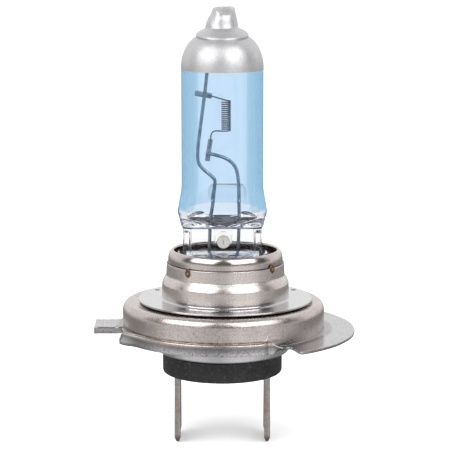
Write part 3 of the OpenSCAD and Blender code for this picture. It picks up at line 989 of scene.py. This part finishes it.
# Dark sheet on the gas space's floor: painted shade with painted highlight streaks.
put("gas_space_floor", painted_shade_floor_sheet(), 25, shade_floor_paint)
filter_skins = two_skins(FILTER_Z, PAINT_Z - 0.01, FILM_IN, COAT_T)
put("blue_film_coat", filter_skins, 50, film, "blue_filter_coating")
paint_skins = two_skins(PAINT_Z, TIP_Z + 1, PAINT_IN, COAT_T, tip=True)
put("silver_paint_cap", paint_skins, 50, paint, "silver_cap_coating")
# Sheet over the shoulder that carries painted dark-blue refraction lines.
put("painted_blue_edge_line_sheet", shoulder_line_sheet(), 50, painted_edge_line_film)

# ---------------------------------------------------------------- mount inside the tube

LONG_WIRE = [
    (-2.05, 0, 31.6), (-2.45, 0, 28), (-3.38, 0, 20.9), (-3.45, 0, 19.1), (-3, 0, 18.2),
    (-1.3, 0, 16.8), (-1.08, 0, 16.35), (-1.42, 0, 13.1), (-1.75, 0, 11.5), (-1.85, 0, 7.4)
]
SHORT_WIRE = [
    (-2.35, 0, 19.98), (-1.5, 0, 19.95), (0.1, 0, 19.5), (1.15, 0, 18.85), (1.75, 0, 17.9),
    (1.98, 0, 16.4), (2.08, 0, 11.5), (1.95, 0, 7.4)
]
put(
    "long_wire", swept(rounded(LONG_WIRE, 0.8), SUPPORT_D / 2), 50, moly,
    "long_support_wire"
)


def thinned(s):
    """Radius of the short wire, drawn down towards its clamp."""
    return SUPPORT_D / 2 * (0.62 + 0.38 * min(1, s * 18))


put(
    "short_wire", swept(rounded(SHORT_WIRE, 0.8), thinned), 50, moly,
    "short_support_wire"
)


def coil_path():
    """Lead from the upper clamp, the turns of the coil and the lead to the lower clamp."""
    radius = (COIL_D - FILAMENT_D) / 2
    half = (COIL_LEN - FILAMENT_D) / 2
    lead_y = (SUPPORT_D - FILAMENT_D) / 2
    high, low = LIGHT_CENTRE + half, LIGHT_CENTRE - half
    steps = int(COIL_TURNS * 20)
    top = [(-2.1, lead_y, 27.62), (-1.3, lead_y, 27.5), (FILAMENT_X - 0.1, radius, high + 0.02)]
    turns = []
    for i in range(steps + 1):
        q = pi / 2 - FULL * COIL_TURNS * i / steps
        turns.append(
            Vector((FILAMENT_X + radius * cos(q), radius * sin(q), high - 2 * half * i / steps))
        )
    foot = [
        (FILAMENT_X - 0.1, -radius, low - 0.02), (-1.2, -0.2, low), (-1.62, lead_y, low - 0.4),
        (-1.85, lead_y, 20.55)
    ]
    return rounded(top, 0.3, 4) + turns + rounded(foot, 0.3, 4)


put(
    "filament", swept(coil_path(), FILAMENT_D / 2, 8, Vector((0, 0, 1))), 60, tungsten,
    "filament_coil"
)


def folded_plate(centre, size, tilt, fold):
    """Thin plate in two layers, a smaller one in front of a larger one, as it was crimped on the
    wire.
    """
    half_w, half_h = size[0] / 2, size[1] / 2
    outline = rectangle(-half_w, -half_h, half_w, half_h, 0.08, 3)
    inner = [(x * fold[0] + fold[2], z * fold[1] + fold[3]) for x, z in outline]
    depth = 0.1
    turn = shift(centre[0], 0, centre[1]) @ spin(tilt, "Y")
    back = SUPPORT_D / 2 + 0.25 - depth / 2
    front = SUPPORT_D / 2 + depth / 2 - 0.01
    return joined(
        moved(prism(outline, depth, 2, 0.03), turn @ shift(0, back, 0)),
        moved(prism(inner, depth, 2, 0.03), turn @ shift(0, front, 0))
    )


upper_plate = folded_plate((-2.68, 27.74), (2.35, 0.72), 9.7, (0.7, 0.72, 0.3, 0.06))
put("upper_clamp", upper_plate, 40, plate_moly, "upper_filament_clamp")
lower_plate = folded_plate((-1.93, 20.4), (0.65, 2.95), 8.3, (0.7, 0.8, 0.0, 0.15))
put("lower_clamp", lower_plate, 40, plate_moly, "lower_filament_clamp")


def bridge_block():
    """Melted-edged block of quartz: a box with generous rounds, slightly waisted."""
    low, high = BRIDGE_LOW, BRIDGE_HIGH
    centre = (low + high) / 2
    half = (high - low) / 2
    work = bmesh.new()
    bmesh.ops.create_cube(work, size=2.0)
    bmesh.ops.subdivide_edges(work, edges=work.edges, cuts=14, use_grid_fill=True)
    verts, index = [], {}
    reach = min(0.95, 0.96 * half.y, 0.96 * half.z)
    for i, v in enumerate(work.verts):
        p = Vector((v.co.x * half.x, v.co.y * half.y, v.co.z * half.z))
        core = Vector([max(-(h - reach), min(h - reach, c)) for c, h in zip(p, half)])
        off = p - core
        if off.length > 1e-9:
            p = core + off.normalized() * reach
        p.z *= 1 - 0.03 * (1 - (p.x / half.x) ** 2)
        p.y *= 1 - 0.05 * (1 - (p.x / half.x) ** 2)
        verts.append(p + centre)
        index[v] = i
    faces = [tuple(index[v] for v in f.verts) for f in work.faces]
    work.free()
    return verts, faces


put("quartz_bridge_block", bridge_block(), 60, bridge_glass, "quartz_bridge")

# ---------------------------------------------------------------- clip and collar


def cap_profile():
    """Floor, wall that widens a little into the sleeve, and a broad rolled rim."""
    wall = CAP_WALL
    return (
        [
            (CAP_FLOOR_R, 1.25), (CAP_R - 0.15, 1.25), (CAP_R, 1.4), (CAP_R, 5.15),
            (CAP_R - 0.06, SLEEVE_Z - 0.12), (CAP_R - 0.06, SLEEVE_Z + 0.05)
        ]
        + [
            (CAP_R + 0.08, SLEEVE_Z + 0.11), (CAP_R + 0.11, SLEEVE_Z + 0.14),
            (CAP_R + 0.11, SLEEVE_Z + 0.32)
        ]
        + arc(MOUTH_R + 0.22, CAP_Z - 1.32, CAP_R - MOUTH_R - 0.11, 1.32, 0, 90, 22)
        + arc(MOUTH_R + 0.18, CAP_Z - 0.3, 0.18, 0.3, 95, 180, 10)
        + [
            (MOUTH_R, CAP_Z - 0.6), (MOUTH_R + 0.06, CAP_Z - 1.15), (CAP_R - wall, CAP_Z - 1.6),
            (CAP_R - wall, 1.56), (CAP_FLOOR_R, 1.56)
        ]
    )


put(
    "holder_cap_shell", turned(cap_profile(), COLLAR_X), 40, cap_metal, "holder_cap"
)


def sleeve_profile():
    """Band over the cap, a rounded step, the sleeve and its flange."""
    band = CAP_R + 0.37
    outer = [
        (CAP_R + 0.22, SLEEVE_Z - 0.01), (CAP_R + 0.26, SLEEVE_Z), (CAP_R + 0.29, SLEEVE_Z - 0.025),
        (CAP_R + 0.3, SLEEVE_Z - 0.08), (CAP_R + 0.31, SLEEVE_Z - 0.3), (CAP_R + 0.325, 4.9),
        (CAP_R + 0.345, 4.4), (band - 0.01, SLEEVE_STEP_Z + 0.1), (band, SLEEVE_STEP_Z - 0.02),
        (band + 0.03, SLEEVE_STEP_Z - 0.07)
    ]
    for k in range(9):
        t = k / 8
        outer.append((band + 0.05 + 0.45 * t + 0.05 * sin(pi * t), SLEEVE_STEP_Z - 0.1 - 0.86 * t))
    outer += [
        (SLEEVE_R - 0.015, 2.86), (SLEEVE_R, 2.72), (SLEEVE_R, 2.3), (SLEEVE_R, 1.7),
        (SLEEVE_R, 1.15)
    ]
    outer += arc(SLEEVE_R + 0.24, DISC_Z + 0.24, -0.24, -0.24, 0, 90, 10)
    outer += [(9.2, DISC_Z), (10, DISC_Z), (10.8, DISC_Z), (FLANGE_R - 0.2, DISC_Z)]
    outer += arc(FLANGE_R - 0.09, DISC_Z - 0.09, 0.09, 0.09, 90, 0, 6)
    outer += [(FLANGE_R, DISC_Z - DISC_T + 0.06), (FLANGE_R - 0.04, DISC_Z - DISC_T)]
    inner = [
        (SLEEVE_R - 0.42, DISC_Z - DISC_T), (SLEEVE_R - 0.42, SLEEVE_STEP_Z - 0.9),
        (CAP_R + 0.02, SLEEVE_STEP_Z - 0.55), (CAP_R + 0.02, SLEEVE_Z - 0.3),
        (CAP_R + 0.19, SLEEVE_Z - 0.14)
    ]
    return outer + inner


put(
    "collar_sleeve_shell", turned(sleeve_profile(), COLLAR_X), 40, sleeve_metal,
    "collar_sleeve"
)


def weld_bead(radius, height, squash=1.0, dimple=0.35):
    """Low round bead with a dimple, on the XY plane."""
    verts = [(0, 0, height * (1 - dimple))]
    rings, slots = 7, 28
    for j in range(1, rings + 1):
        s = j / rings
        z = height * (1 - dimple * (1 - s) ** 2) * sqrt(max(0.0, 1 - s**4))
        for k in range(slots):
            q = FULL * k / slots
            r = radius * s * (1 + 0.05 * sin(3 * q) + 0.03 * sin(5 * q + 1))
            verts.append((r * cos(q) * squash, r * sin(q), z))
    for k in range(slots):
        q = FULL * k / slots
        verts.append((radius * cos(q) * squash, radius * sin(q), -0.06))
    fan = [(0, 1 + k, 1 + (k + 1) % slots) for k in range(slots)]
    under = tuple(range(rings * slots + slots, rings * slots, -1))
    return verts, fan + bands(rings + 1, slots, 1, back=True) + [under]


def weld_pieces(name, places, bead, radius, node):
    """All beads of one kind, tinted from their middles outwards."""
    tint = weld_material(name + "_tint", [place.translation * MM for place in places], radius * MM)
    put(name, joined(*(moved(bead, place) for place in places)), 60, tint, node)


CAP_WELDS = [
    shift(COLLAR_X, 0, z) @ spin(angle, "Z") @ shift(CAP_R + 0.3, 0, 0) @ spin(90, "Y")
    for angle, z in (
        (-128.5, SLEEVE_Z - 0.45), (-38.5, SLEEVE_Z - 0.08), (51.5, SLEEVE_Z - 0.3),
        (141.5, SLEEVE_Z - 0.3)
    )
]
FLANGE_WELDS = [
    shift(COLLAR_X, 0, DISC_Z) @ spin(angle, "Z") @ shift(FLANGE_R - 1.1, 0, 0)
    for angle in (152, 28, -98)
]
weld_pieces("collar_weld_beads", CAP_WELDS, weld_bead(0.47, 0.14, 1.3), 0.56, "collar_weld_spots")
weld_pieces(
    "flange_weld_beads", FLANGE_WELDS, weld_bead(0.40, 0.04, 0.9, 0.5), 0.30, "flange_weld_spots"
)


def flat_box(low, high, edge=0.05):
    """Box with rounded upright edges, given by two opposite corners."""
    (x0, y0, z0), (x1, y1, z1) = low, high
    plate = prism(rectangle(x0, z0, x1, z1, edge, 3), y1 - y0, 2, min(0.04, edge))
    return moved(plate, shift(0, (y0 + y1) / 2, 0))


def clip_parts():
    """Floor plate, leaves on both faces of the foot, bent side tabs and the shelf in front."""
    shelf = CAP_Z - 0.3
    parts = []
    for side in (-1, 1):
        edge = GLASS_X + side * (FOOT_HALF_W + 0.16)
        parts.append(flat_box((edge - 0.13, -1.05, CLIP_LOW_Z), (edge + 0.13, 1.05, 6.3)))
        tip = flat_box((-0.13, -1.05, -0.1), (0.13, 1.05, 0.85))
        parts.append(moved(tip, shift(edge, 0, 6.2) @ spin(side * 35, "Y")))
    for low_y, high_y, high_z in ((-1.92, -1.55, shelf - 0.05), (1.55, 1.92, 5)):
        parts.append(flat_box((GLASS_X - 3, low_y, CLIP_LOW_Z), (GLASS_X + 3, high_y, high_z)))
    rim = MOUTH_R - 0.06
    steps = 40
    low_x, high_x = GLASS_X - 4.7, GLASS_X + 4.8
    outline = []
    for i in range(steps + 1):
        x = low_x + (high_x - low_x) * i / steps
        outline.append((x, sqrt(max(0.0, rim**2 - (x - COLLAR_X) ** 2))))
    outline += [(high_x, 1.95), (low_x, 1.95)]
    plate = moved(prism(outline, 0.26, 2), spin(90, "X"))
    verts, faces = moved(plate, shift(0, 0, shelf - 0.15))
    parts.append(([(x, y, z + 0.36 * smooth(-6.6, -1.9, y)) for x, y, z in verts], faces))
    disc_r = CAP_R - 0.45
    parts.append(turned([(4, 1.57), (disc_r, 1.57), (disc_r, 1.88), (4, 1.88)], COLLAR_X, 96))
    return joined(*parts)


put("pinch_clip_plates", clip_parts(), 35, clip_metal, "pinch_clip")

# ---------------------------------------------------------------- ring

LUG_ENDS = (-55.4, 46.0)
SKIRT_GAP = (156.0, -164.0)
LUG_TRIM = 3.0
NOTCH_R = 0.92
NOTCH_SPAN = 2.6
NOTCH_CENTRE_R = 14.97
FLANGE_MIDDLE_R = 14.6
TORN_SPAN = 13
TORN_PEAK = 9.2
TORN_RISE = 0.86
SKIRT_DROOP = 0.42
LIP_LEAN = 0.16
LIP_FOLD = 0.22
LIP_LEAST = 0.02
SHEET_T = 0.4
RING_BEND, RING_BEND_H = 0.72, 1.2


def ring_edge(angle):
    """The flat flange at an angle in degrees: its reach, its height, the depth of the folded
    lip, how far the lip's lower edge leans out, and the slant of a lug's end.
    """
    height = SHELF_DROP_Z
    for side, end in ((-1, LUG_ENDS[0]), (1, LUG_ENDS[1])):
        away = (end - angle) * -side
        if -LUG_TRIM < away < NOTCH_SPAN:
            half = radians(away) * FLANGE_MIDDLE_R
            reach = NOTCH_CENTRE_R - sqrt(max(0.0, NOTCH_R**2 - half**2))
            return reach, LUG_Z, 0.0, 0.0, 0.0
        if NOTCH_SPAN <= away < TORN_SPAN:
            rise = TORN_RISE * max(0.0, 1 - abs(away - TORN_PEAK) / 3.6)
            fall = clamped((TORN_PEAK - away) / (TORN_PEAK - NOTCH_SPAN))
            height += rise * (1 - fall) + (LUG_Z + 0.1 - height) * fall
            low = SKIRT_LOW_Z + SKIRT_DROOP * (1 - smooth(NOTCH_SPAN, 8.0, away))
            lean = LIP_LEAN - (0.5 + LIP_LEAN) * (1 - smooth(3.0, 9.0, away))
            reach = SKIRT_R - LIP_LEAN - 0.24 * (rise / TORN_RISE) + 0.55 * fall
            return reach, height, height - low, lean, 0.0
    if LUG_ENDS[0] < angle < LUG_ENDS[1]:
        low, high = angle - LUG_ENDS[0] - LUG_TRIM, LUG_ENDS[1] - LUG_TRIM - angle
        side, inside = (-1, low) if low < high else (1, high)
        corner = 0.4 * max(0.0, 1 - inside / 0.9) ** 2
        return LUG_R - 0.02 - corner, LUG_Z, 0.0, 0.0, side * max(0.0, 1 - inside / 14)
    into = min((SKIRT_GAP[0] - angle) % 360, (angle - SKIRT_GAP[1]) % 360)
    if into > 180:
        return RING_R + 0.2, height - SKIRT_DROOP, 0.0, 0.0, 0.0
    spread = 1 - smooth(0.0, 22.0, into)
    lip = (SHELF_DROP_Z - SKIRT_LOW_Z) * clamped(0.3 + into / 1.2)
    lean = LIP_LEAN + 0.2 * spread
    return SKIRT_R - LIP_LEAN + 0.22 * spread, height - SKIRT_DROOP * spread, lip, lean, 0.0


def ring_column(angle):
    """Outer and inner skin of the ring's sheet at one angle, from the inner edge to the free
    edge.
    """
    reach, height, lip, lean, skew = ring_edge(angle)
    thick, root = SHEET_T, RING_R
    bend, bend_h = RING_BEND, RING_BEND_H
    outer, inner = [], []

    def skin(r, z, inner_r, inner_z):
        outer.append((r, z))
        inner.append((inner_r, inner_z))

    for r, z in (
        (BASE_R + 0.02, 0.0), (9.5, 0.0), (10.9, 0.0), (11.2, -0.02), (11.4, -0.06), (11.6, -0.08),
        (11.8, -0.06), (12.05, -0.01), (12.3, 0.0), (12.6, 0.0)
    ):
        skin(r, RING_TOP_Z + z, r, -0.3)
    for r, z in arc(root - bend, RING_TOP_Z - bend_h, bend, bend_h, 80, 0, 14):
        d = Vector((r - (root - bend), z - (RING_TOP_Z - bend_h))).normalized()
        skin(r, z, root - bend + d.x * (bend - thick), RING_TOP_Z - bend_h + d.y * (bend_h - thick))
    start, end = LUG_ENDS
    turn = 0.22 * smooth(start - 2, start + 6, angle) * smooth(end + 2, end - 6, angle) + 0.13
    wall_top, wall_foot = RING_TOP_Z - bend_h, height + turn
    for s in (0.06, 0.25, 0.5, 0.75, 0.93):
        z = wall_top + (wall_foot - wall_top) * s
        skin(root + 0.012 * sin((z + 1) * 1.7), z, root - thick, z)
    for r, z in arc(root + turn, height + turn, turn, turn, 180, 270, 5):
        d = Vector((root + turn - r, height + turn - z)).normalized()
        skin(r, z, r - d.x * thick, z - d.y * thick)
    flat = max(reach - (root + turn), 0.02)
    fold = min(LIP_FOLD, flat * 0.6) if lip > LIP_LEAST else 0.0
    for s in (0.12, 0.28, 0.45, 0.62, 0.78, 0.9):
        r = root + turn + (flat - fold) * s
        skin(r, height, r, height - thick)
    end_r = root + turn + flat
    if lip > LIP_LEAST:
        for r, z in arc(end_r - fold, height - fold, fold, fold, 90, 0, 5):
            skin(r, max(z, height - lip), min(r, end_r) - thick * 0.75, height - thick)
        for s in (0.3, 0.6, 0.9):
            skin(
                end_r + lean * s, height - min(fold, lip) - max(0.0, lip - fold) * s,
                end_r - thick * 0.85 + lean * s, height - thick - max(0.0, lip - thick) * s
            )
        skin(
            end_r + lean * 0.98 - 0.03, height - max(lip, thick * 0.5),
            end_r + lean * 0.98 - thick * 0.8, height - max(lip, thick)
        )
    else:
        edge = 0.1
        outer += arc(end_r - edge, height - edge, edge, edge, 90, 0, 5)
        inner += [(end_r - edge, height - thick)] * 6
        for s in (0.35, 0.7, 1.0):
            skin(end_r, height - edge - (thick - 2 * edge) * s, end_r - 0.05, height - thick)
        skin(end_r - 0.02, height - thick + 0.03, end_r - 0.06, height - thick)
    return outer, inner, skew


def ring_sheet():
    """The ring, its lug and its folded skirt as one sheet, in steps that are finer at their
    ends.
    """
    loops = []
    angle = -180.0
    while angle < 180.0 - NEARLY_ZERO:
        outer, inner, skew = ring_column(angle)
        loop = []
        for r, z in outer + inner[::-1]:
            q = radians(angle + skew * 3.4 * smooth(14.6, 17.3, r))
            place = Vector((cos(q) * 3.2, sin(q) * 3.2, z * 0.9))
            ripple = 0.0
            if r > RING_R + 0.1:
                ripple = 0.03 * noise.noise(place) + 0.012 * noise.noise(place * 4)
            r -= 0.5 * abs(ripple)
            loop.append((r * cos(q), r * sin(q), z + ripple))
        loops.append(loop)
        near = min(abs(angle - end) for end in (*LUG_ENDS, *SKIRT_GAP))
        angle += 0.2 if near < 4 else 0.4 if near < 10 else 1.0
    verts = [p for loop in loops for p in loop]
    return verts, bands(len(loops), len(loops[0]), loop=True, back=True)


def ring_tab():
    """Narrow tab with both long edges folded down, flaring where it leaves the ring."""
    low_y, high_y = TAB_LOW_Y, TAB_HIGH_Y
    top = LUG_Z + 0.15
    drop, bend, thick = 0.92, 0.18, 0.38
    outer = [(low_y, top - drop), (low_y, top - bend)]
    for q in (20, 45, 70, 90):
        q = radians(q)
        outer.append((low_y + bend - bend * cos(q), top - bend + bend * sin(q)))
    outer += [(low_y + 0.7, top - 0.05), (2.3, top - 0.1), (high_y - 0.7, top - 0.05)]
    for q in (0, 20, 45, 70):
        q = radians(q)
        outer.append((high_y - bend + bend * sin(q), top - bend + bend * cos(q)))
    outer += [(high_y, top - bend), (high_y, top - drop)]
    inner = [
        (high_y - thick, top - drop), (high_y - thick, top - 0.45),
        (high_y - 0.6, top - thick - 0.02), (2.3, top - thick - 0.06),
        (low_y + 0.6, top - thick - 0.02), (low_y + thick, top - 0.45), (low_y + thick, top - drop)
    ]
    loop = softened(outer + inner, 0.04, 2)
    end_x = 0.2 - LUG_R
    stations = [
        end_x, end_x + 0.03, end_x + 0.1, -16.6, -15.6, -14.8, -14.3, -13.9, -13.6, -13.3, -12.95
    ]
    cy, cz = 2.3, top - 0.4
    verts = []
    for i, x in enumerate(stations):
        shrink = (0.05, 0.015, 0)[i] if i < 3 else 0
        flare = 1 + 0.28 * smooth(-14.4, -13.1, x) ** 1.5
        rise = 0.3 * smooth(-14.1, -13.2, x)
        for y, z in loop:
            bump_z = 0.02 * rough(x * 1.3, y * 1.3, z)
            wide = cy + (y - cy) * flare * (1 - shrink * 0.4)
            verts.append((x, wide, z + (cz - z) * shrink + rise + bump_z))
    rows, count = len(stations), len(loop)
    return verts, bands(rows, count) + lids(rows, count)


put(
    "reference_ring_sheet", joined(ring_sheet(), ring_tab()), 38, ring_metal,
    "reference_ring"
)

# ---------------------------------------------------------------- shell, base and blades


def shell_profile():
    return softened(
        [
            (NECK_R + 0.02, -0.52), (12.8, -0.52), (12.8, -1.08), (SHELL_R + 0.55, -1.12),
            (SHELL_R, -1.7), (SHELL_R, SHELL_Z + 0.01), (NECK_R + 0.3, SHELL_Z + 0.01),
            (NECK_R + 0.02, SHELL_Z + 0.2)
        ],
        0.3, 6
    )


put("base_shell_cup", turned(shell_profile(), 0, 224), 35, shell_metal, "base_shell")


def insulator():
    """Moulded block with a soft lower edge, and a raised collar round each blade underneath."""
    profile = [
        (0, SHELF_Z), (NECK_R - 0.1, SHELF_Z), (NECK_R, SHELF_Z - 0.1), (NECK_R, SHELL_Z - 0.14)
    ]
    profile += arc(BASE_R - 0.12, SHELL_Z - 0.28, 0.12, 0.12, 90, 0, 5)
    profile += [(BASE_R, -7.2), (BASE_R, -7.9), (BASE_R, -8.5)]
    profile += arc(BASE_R - 0.4, BASE_Z + 0.4, 0.4, 0.38, 0, -90, 8)
    profile += [
        (BASE_R - 1.1, BASE_Z + 0.02), (BASE_R - 1.3, BASE_Z + 0.14), (5, BASE_Z + 0.14),
        (0, BASE_Z + 0.14)
    ]

    def wobble(r, z, q):
        if z < SHELF_Z - 1 and r > 1:
            r -= 0.03 * max(0.0, noise.noise(Vector((cos(q) * r, sin(q) * r, z)) * 0.9))
        return r, z

    parts = [turned(profile, BASE_X, wobble=wobble)]
    for side in (-1, 1):
        plate = prism(rectangle(-0.95, -3.65, 0.95, 3.65, 0.3, 4), 0.26, 3, 0.08)
        plate = moved(plate, spin(-90, "X"))
        parts.append(moved(plate, shift(BASE_X + side * BLADE_X, 0, BASE_Z + 0.145)))
    return joined(*parts)

put("insulator_block", insulator(), 40, black, "base_insulator")


def blade(side):
    """Flat blade, rounded along its edges, with a lead-in at its end.
    """
    half_w, half_t, top, end = BLADE_HALF_W, BLADE_HALF_T, BLADE_TOP, BLADE_END
    outline = softened(
        [
            (-half_w, top), (half_w, top), (half_w, end + 0.9), (half_w - 0.75, end),
            (0.75 - half_w, end), (-half_w, end + 0.9)
        ],
        0.3, 5
    )
    verts, faces = prism(outline, 2 * half_t, 4, 0.12)
    shaped = []
    for x, y, z in verts:
        near_end = smooth(end + 0.75, end + 0.02, z)
        shaped.append((BASE_X + side * BLADE_X + y * (1 - 0.5 * near_end), x, z))
    return shaped, faces

for sign, side in ((-1, "left"), (1, "right")):
    put(side + "_blade", blade(sign), 40, blade_metal, side + "_terminal_blade")


def pinch_boss(side):
    """Round boss pressed into one face of the foot, side -1 in front and 1 behind."""
    edge = BOSS_R - 0.08
    if side < 0:
        profile = [(0, 0.26), (0.25, 0.255), (0.5, 0.24), (0.68, 0.22)]
        profile += [(edge - 0.12, 0.2), (edge - 0.05, 0.17), (edge, 0.1), (edge, 0.02), (0, 0.02)]
    else:
        profile = [
            (0, 0.09), (0.25, 0.087), (0.45, 0.077), (0.62, 0.06), (0.76, 0.038), (edge, 0.015),
            (edge, 0.005), (0, 0.005)
        ]
    place = shift(BOSS_X, side * (FOOT_HALF_T + 0.13), BOSS_Z) @ spin(-90 * side, "X")
    return moved(turned(profile, 0, 64), place)


def sealing_foil(name):
    """Thin foil strip with feathered, slightly wavy edges."""
    low, high = node_box(name)
    top = min(high.z, CAP_Z - 0.75)
    left, right = [], []
    for i in range(25):
        z = low.z + (top - low.z) * i / 24
        wave = 0.04 * rough(low.x, 0, z * 2.1)
        left.append((low.x + 0.05 + wave, z))
        right.append((high.x - 0.05 + wave, z))
    return prism(left + right[::-1], high.y - low.y, 2, 0.015)


for side in ("left", "right"):
    strip = sealing_foil(side + "_sealing_foil")
    put(side + "_foil_strip", strip, 50, foil_metal, side + "_sealing_foil")
put("front_boss", pinch_boss(-1), 50, frosted)
put("rear_boss", pinch_boss(1), 50, quartz)

# ---------------------------------------------------------------- carried-over nodes

for name in ("left_outer_lead", "right_outer_lead"):
    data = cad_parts[name].data
    data.materials.clear()
    data.materials.append(lead_metal)

# ---------------------------------------------------------------- stage

scene = bpy.context.scene
scene.view_settings.view_transform = "Standard"
scene.cycles.max_bounces = 24
scene.cycles.transmission_bounces = 20
scene.cycles.glossy_bounces = 8
scene.cycles.transparent_max_bounces = 32
scene.cycles.caustics_reflective = True
scene.cycles.caustics_refractive = True
scene.cycles.blur_glossy = 0.3


def floor_plane():
    s = Shader("pale_floor")
    tone = s.noise(3.0, 3.0, 0.5)
    colour = s.mix(tone, (0.90, 0.90, 0.90), (0.93, 0.93, 0.93))
    material = s.coat(
        Base_Color=colour, Roughness=0.9, Emission_Color=(1.0, 1.0, 1.0), Emission_Strength=0.15
    )
    size, floor_z = 6000, BLADE_END - 0.02
    corners = ((-size, -size), (size, -size), (size, size), (-size, size))
    verts = [(x, y, floor_z) for x, y in corners]
    return mesh_piece("floor", verts, [(0, 1, 2, 3)], material=material)


floor = floor_plane()
floor.visible_glossy = False
floor.visible_transmission = False


LAMP_ELEVATION = 36
LAMP_DISTANCE = 0.8
LAMP_WIDTH, LAMP_HEIGHT = 0.74, 0.62
LAMP_RADIANCE = 3.1


def softbox(name, azimuth):
    """Area lamp that faces the bulb.

    Azimuth 0 is the camera's side and positive is to the right.
    """
    a, e = radians(azimuth), radians(LAMP_ELEVATION)
    towards = Vector((sin(a) * cos(e), -cos(a) * cos(e), sin(e)))
    lamp = bpy.data.lights.new(name, "AREA")
    lamp.shape = "RECTANGLE"
    lamp.size, lamp.size_y = LAMP_WIDTH, LAMP_HEIGHT
    lamp.energy = LAMP_RADIANCE * pi * LAMP_WIDTH * LAMP_HEIGHT
    stand = bpy.data.objects.new(name, lamp)
    scene.collection.objects.link(stand)
    stand.location = towards * LAMP_DISTANCE
    stand.rotation_mode = "QUATERNION"
    stand.rotation_quaternion = towards.to_track_quat("Z", "Y")


softbox("right_softbox", 39)
softbox("left_softbox", -48)


def studio_world():
    """Even white for what the camera and the glass look at, and a darker gap between the lamps
    for what the metal mirrors.
    """
    world = bpy.data.worlds.new("studio")
    scene.world = world
    world.use_nodes = True
    w = Nodes(world.node_tree)
    direction = w.node("ShaderNodeTexCoord").outputs["Generated"]
    x, y, z = w.node("ShaderNodeSeparateXYZ", inputs={0: direction}).outputs
    flat = w.math("MAXIMUM", w.radius(x, y), 0.001)
    side, ahead = w.math("DIVIDE", x, flat), w.math("DIVIDE", y, flat)

    # what metal mirrors: a lit table with two brighter pools, a bright horizon, and above it
    # dark in front and white behind
    ahead = w.times(ahead, -1.0)

    def towards(azimuth):
        a = radians(azimuth)
        return w.plus(w.times(ahead, cos(a)), w.times(side, sin(a)))

    front = w.span(ahead, -0.35, 0.1)
    pools = w.math(
        "MAXIMUM", w.span(towards(-54), 0.78, 0.98, 0.0, 0.27),
        w.span(towards(33), 0.80, 0.98, 0.0, 0.40)
    )
    table = w.plus(w.span(ahead, -0.3, 0.5, 0.33, 0.74), pools)
    table = w.times(table, w.span(z, -0.7, -0.14, 0.55, 1.0))
    horizon = w.plus(w.mix(front, 0.90, 0.72), pools)
    low = w.mix(w.span(z, -0.12, -0.01), table, horizon)
    high = w.mix(w.span(z, 0.75, 0.98), w.mix(front, 1.08, 0.10), 0.55)
    mirrored = w.mix(w.span(z, 0.03, 0.11), low, high)

    # what glass looks at: white straight behind, dimmer beyond, dark far above and below
    least = w.math("MINIMUM", w.math("ABSOLUTE", side), w.math("ABSOLUTE", ahead))
    through = w.span(least, 0.172, 0.196, 1.0, 0.84)
    through = w.times(through, w.span(z, -0.62, -0.45, 0.10, 1.0))

    path = w.node("ShaderNodeLightPath").outputs
    tone = w.mix(path["Is Glossy Ray"], 1.12, mirrored)
    tone = w.mix(path["Is Transmission Ray"], tone, through)
    tone = w.mix(path["Is Camera Ray"], tone, 1.02)
    backdrop = w.node("ShaderNodeBackground", inputs={"Color": (1, 1, 1, 1), "Strength": tone})
    w.node("ShaderNodeOutputWorld", inputs={"Surface": backdrop.outputs[0]})


studio_world()

LENS = 163.7
CAMERA_AT = Vector((0.2, -267.1, 55.0)) * MM
AIM_AT = Vector((0.2, 0, 10.43)) * MM

camera_data = bpy.data.cameras.new("camera")
camera_data.sensor_width = 36
camera_data.lens = LENS
camera_data.clip_start, camera_data.clip_end = 0.01, 50
camera = bpy.data.objects.new("camera", camera_data)
scene.collection.objects.link(camera)
camera.location = CAMERA_AT
camera.rotation_mode = "QUATERNION"
camera.rotation_quaternion = (AIM_AT - CAMERA_AT).to_track_quat("-Z", "Y")
scene.camera = camera
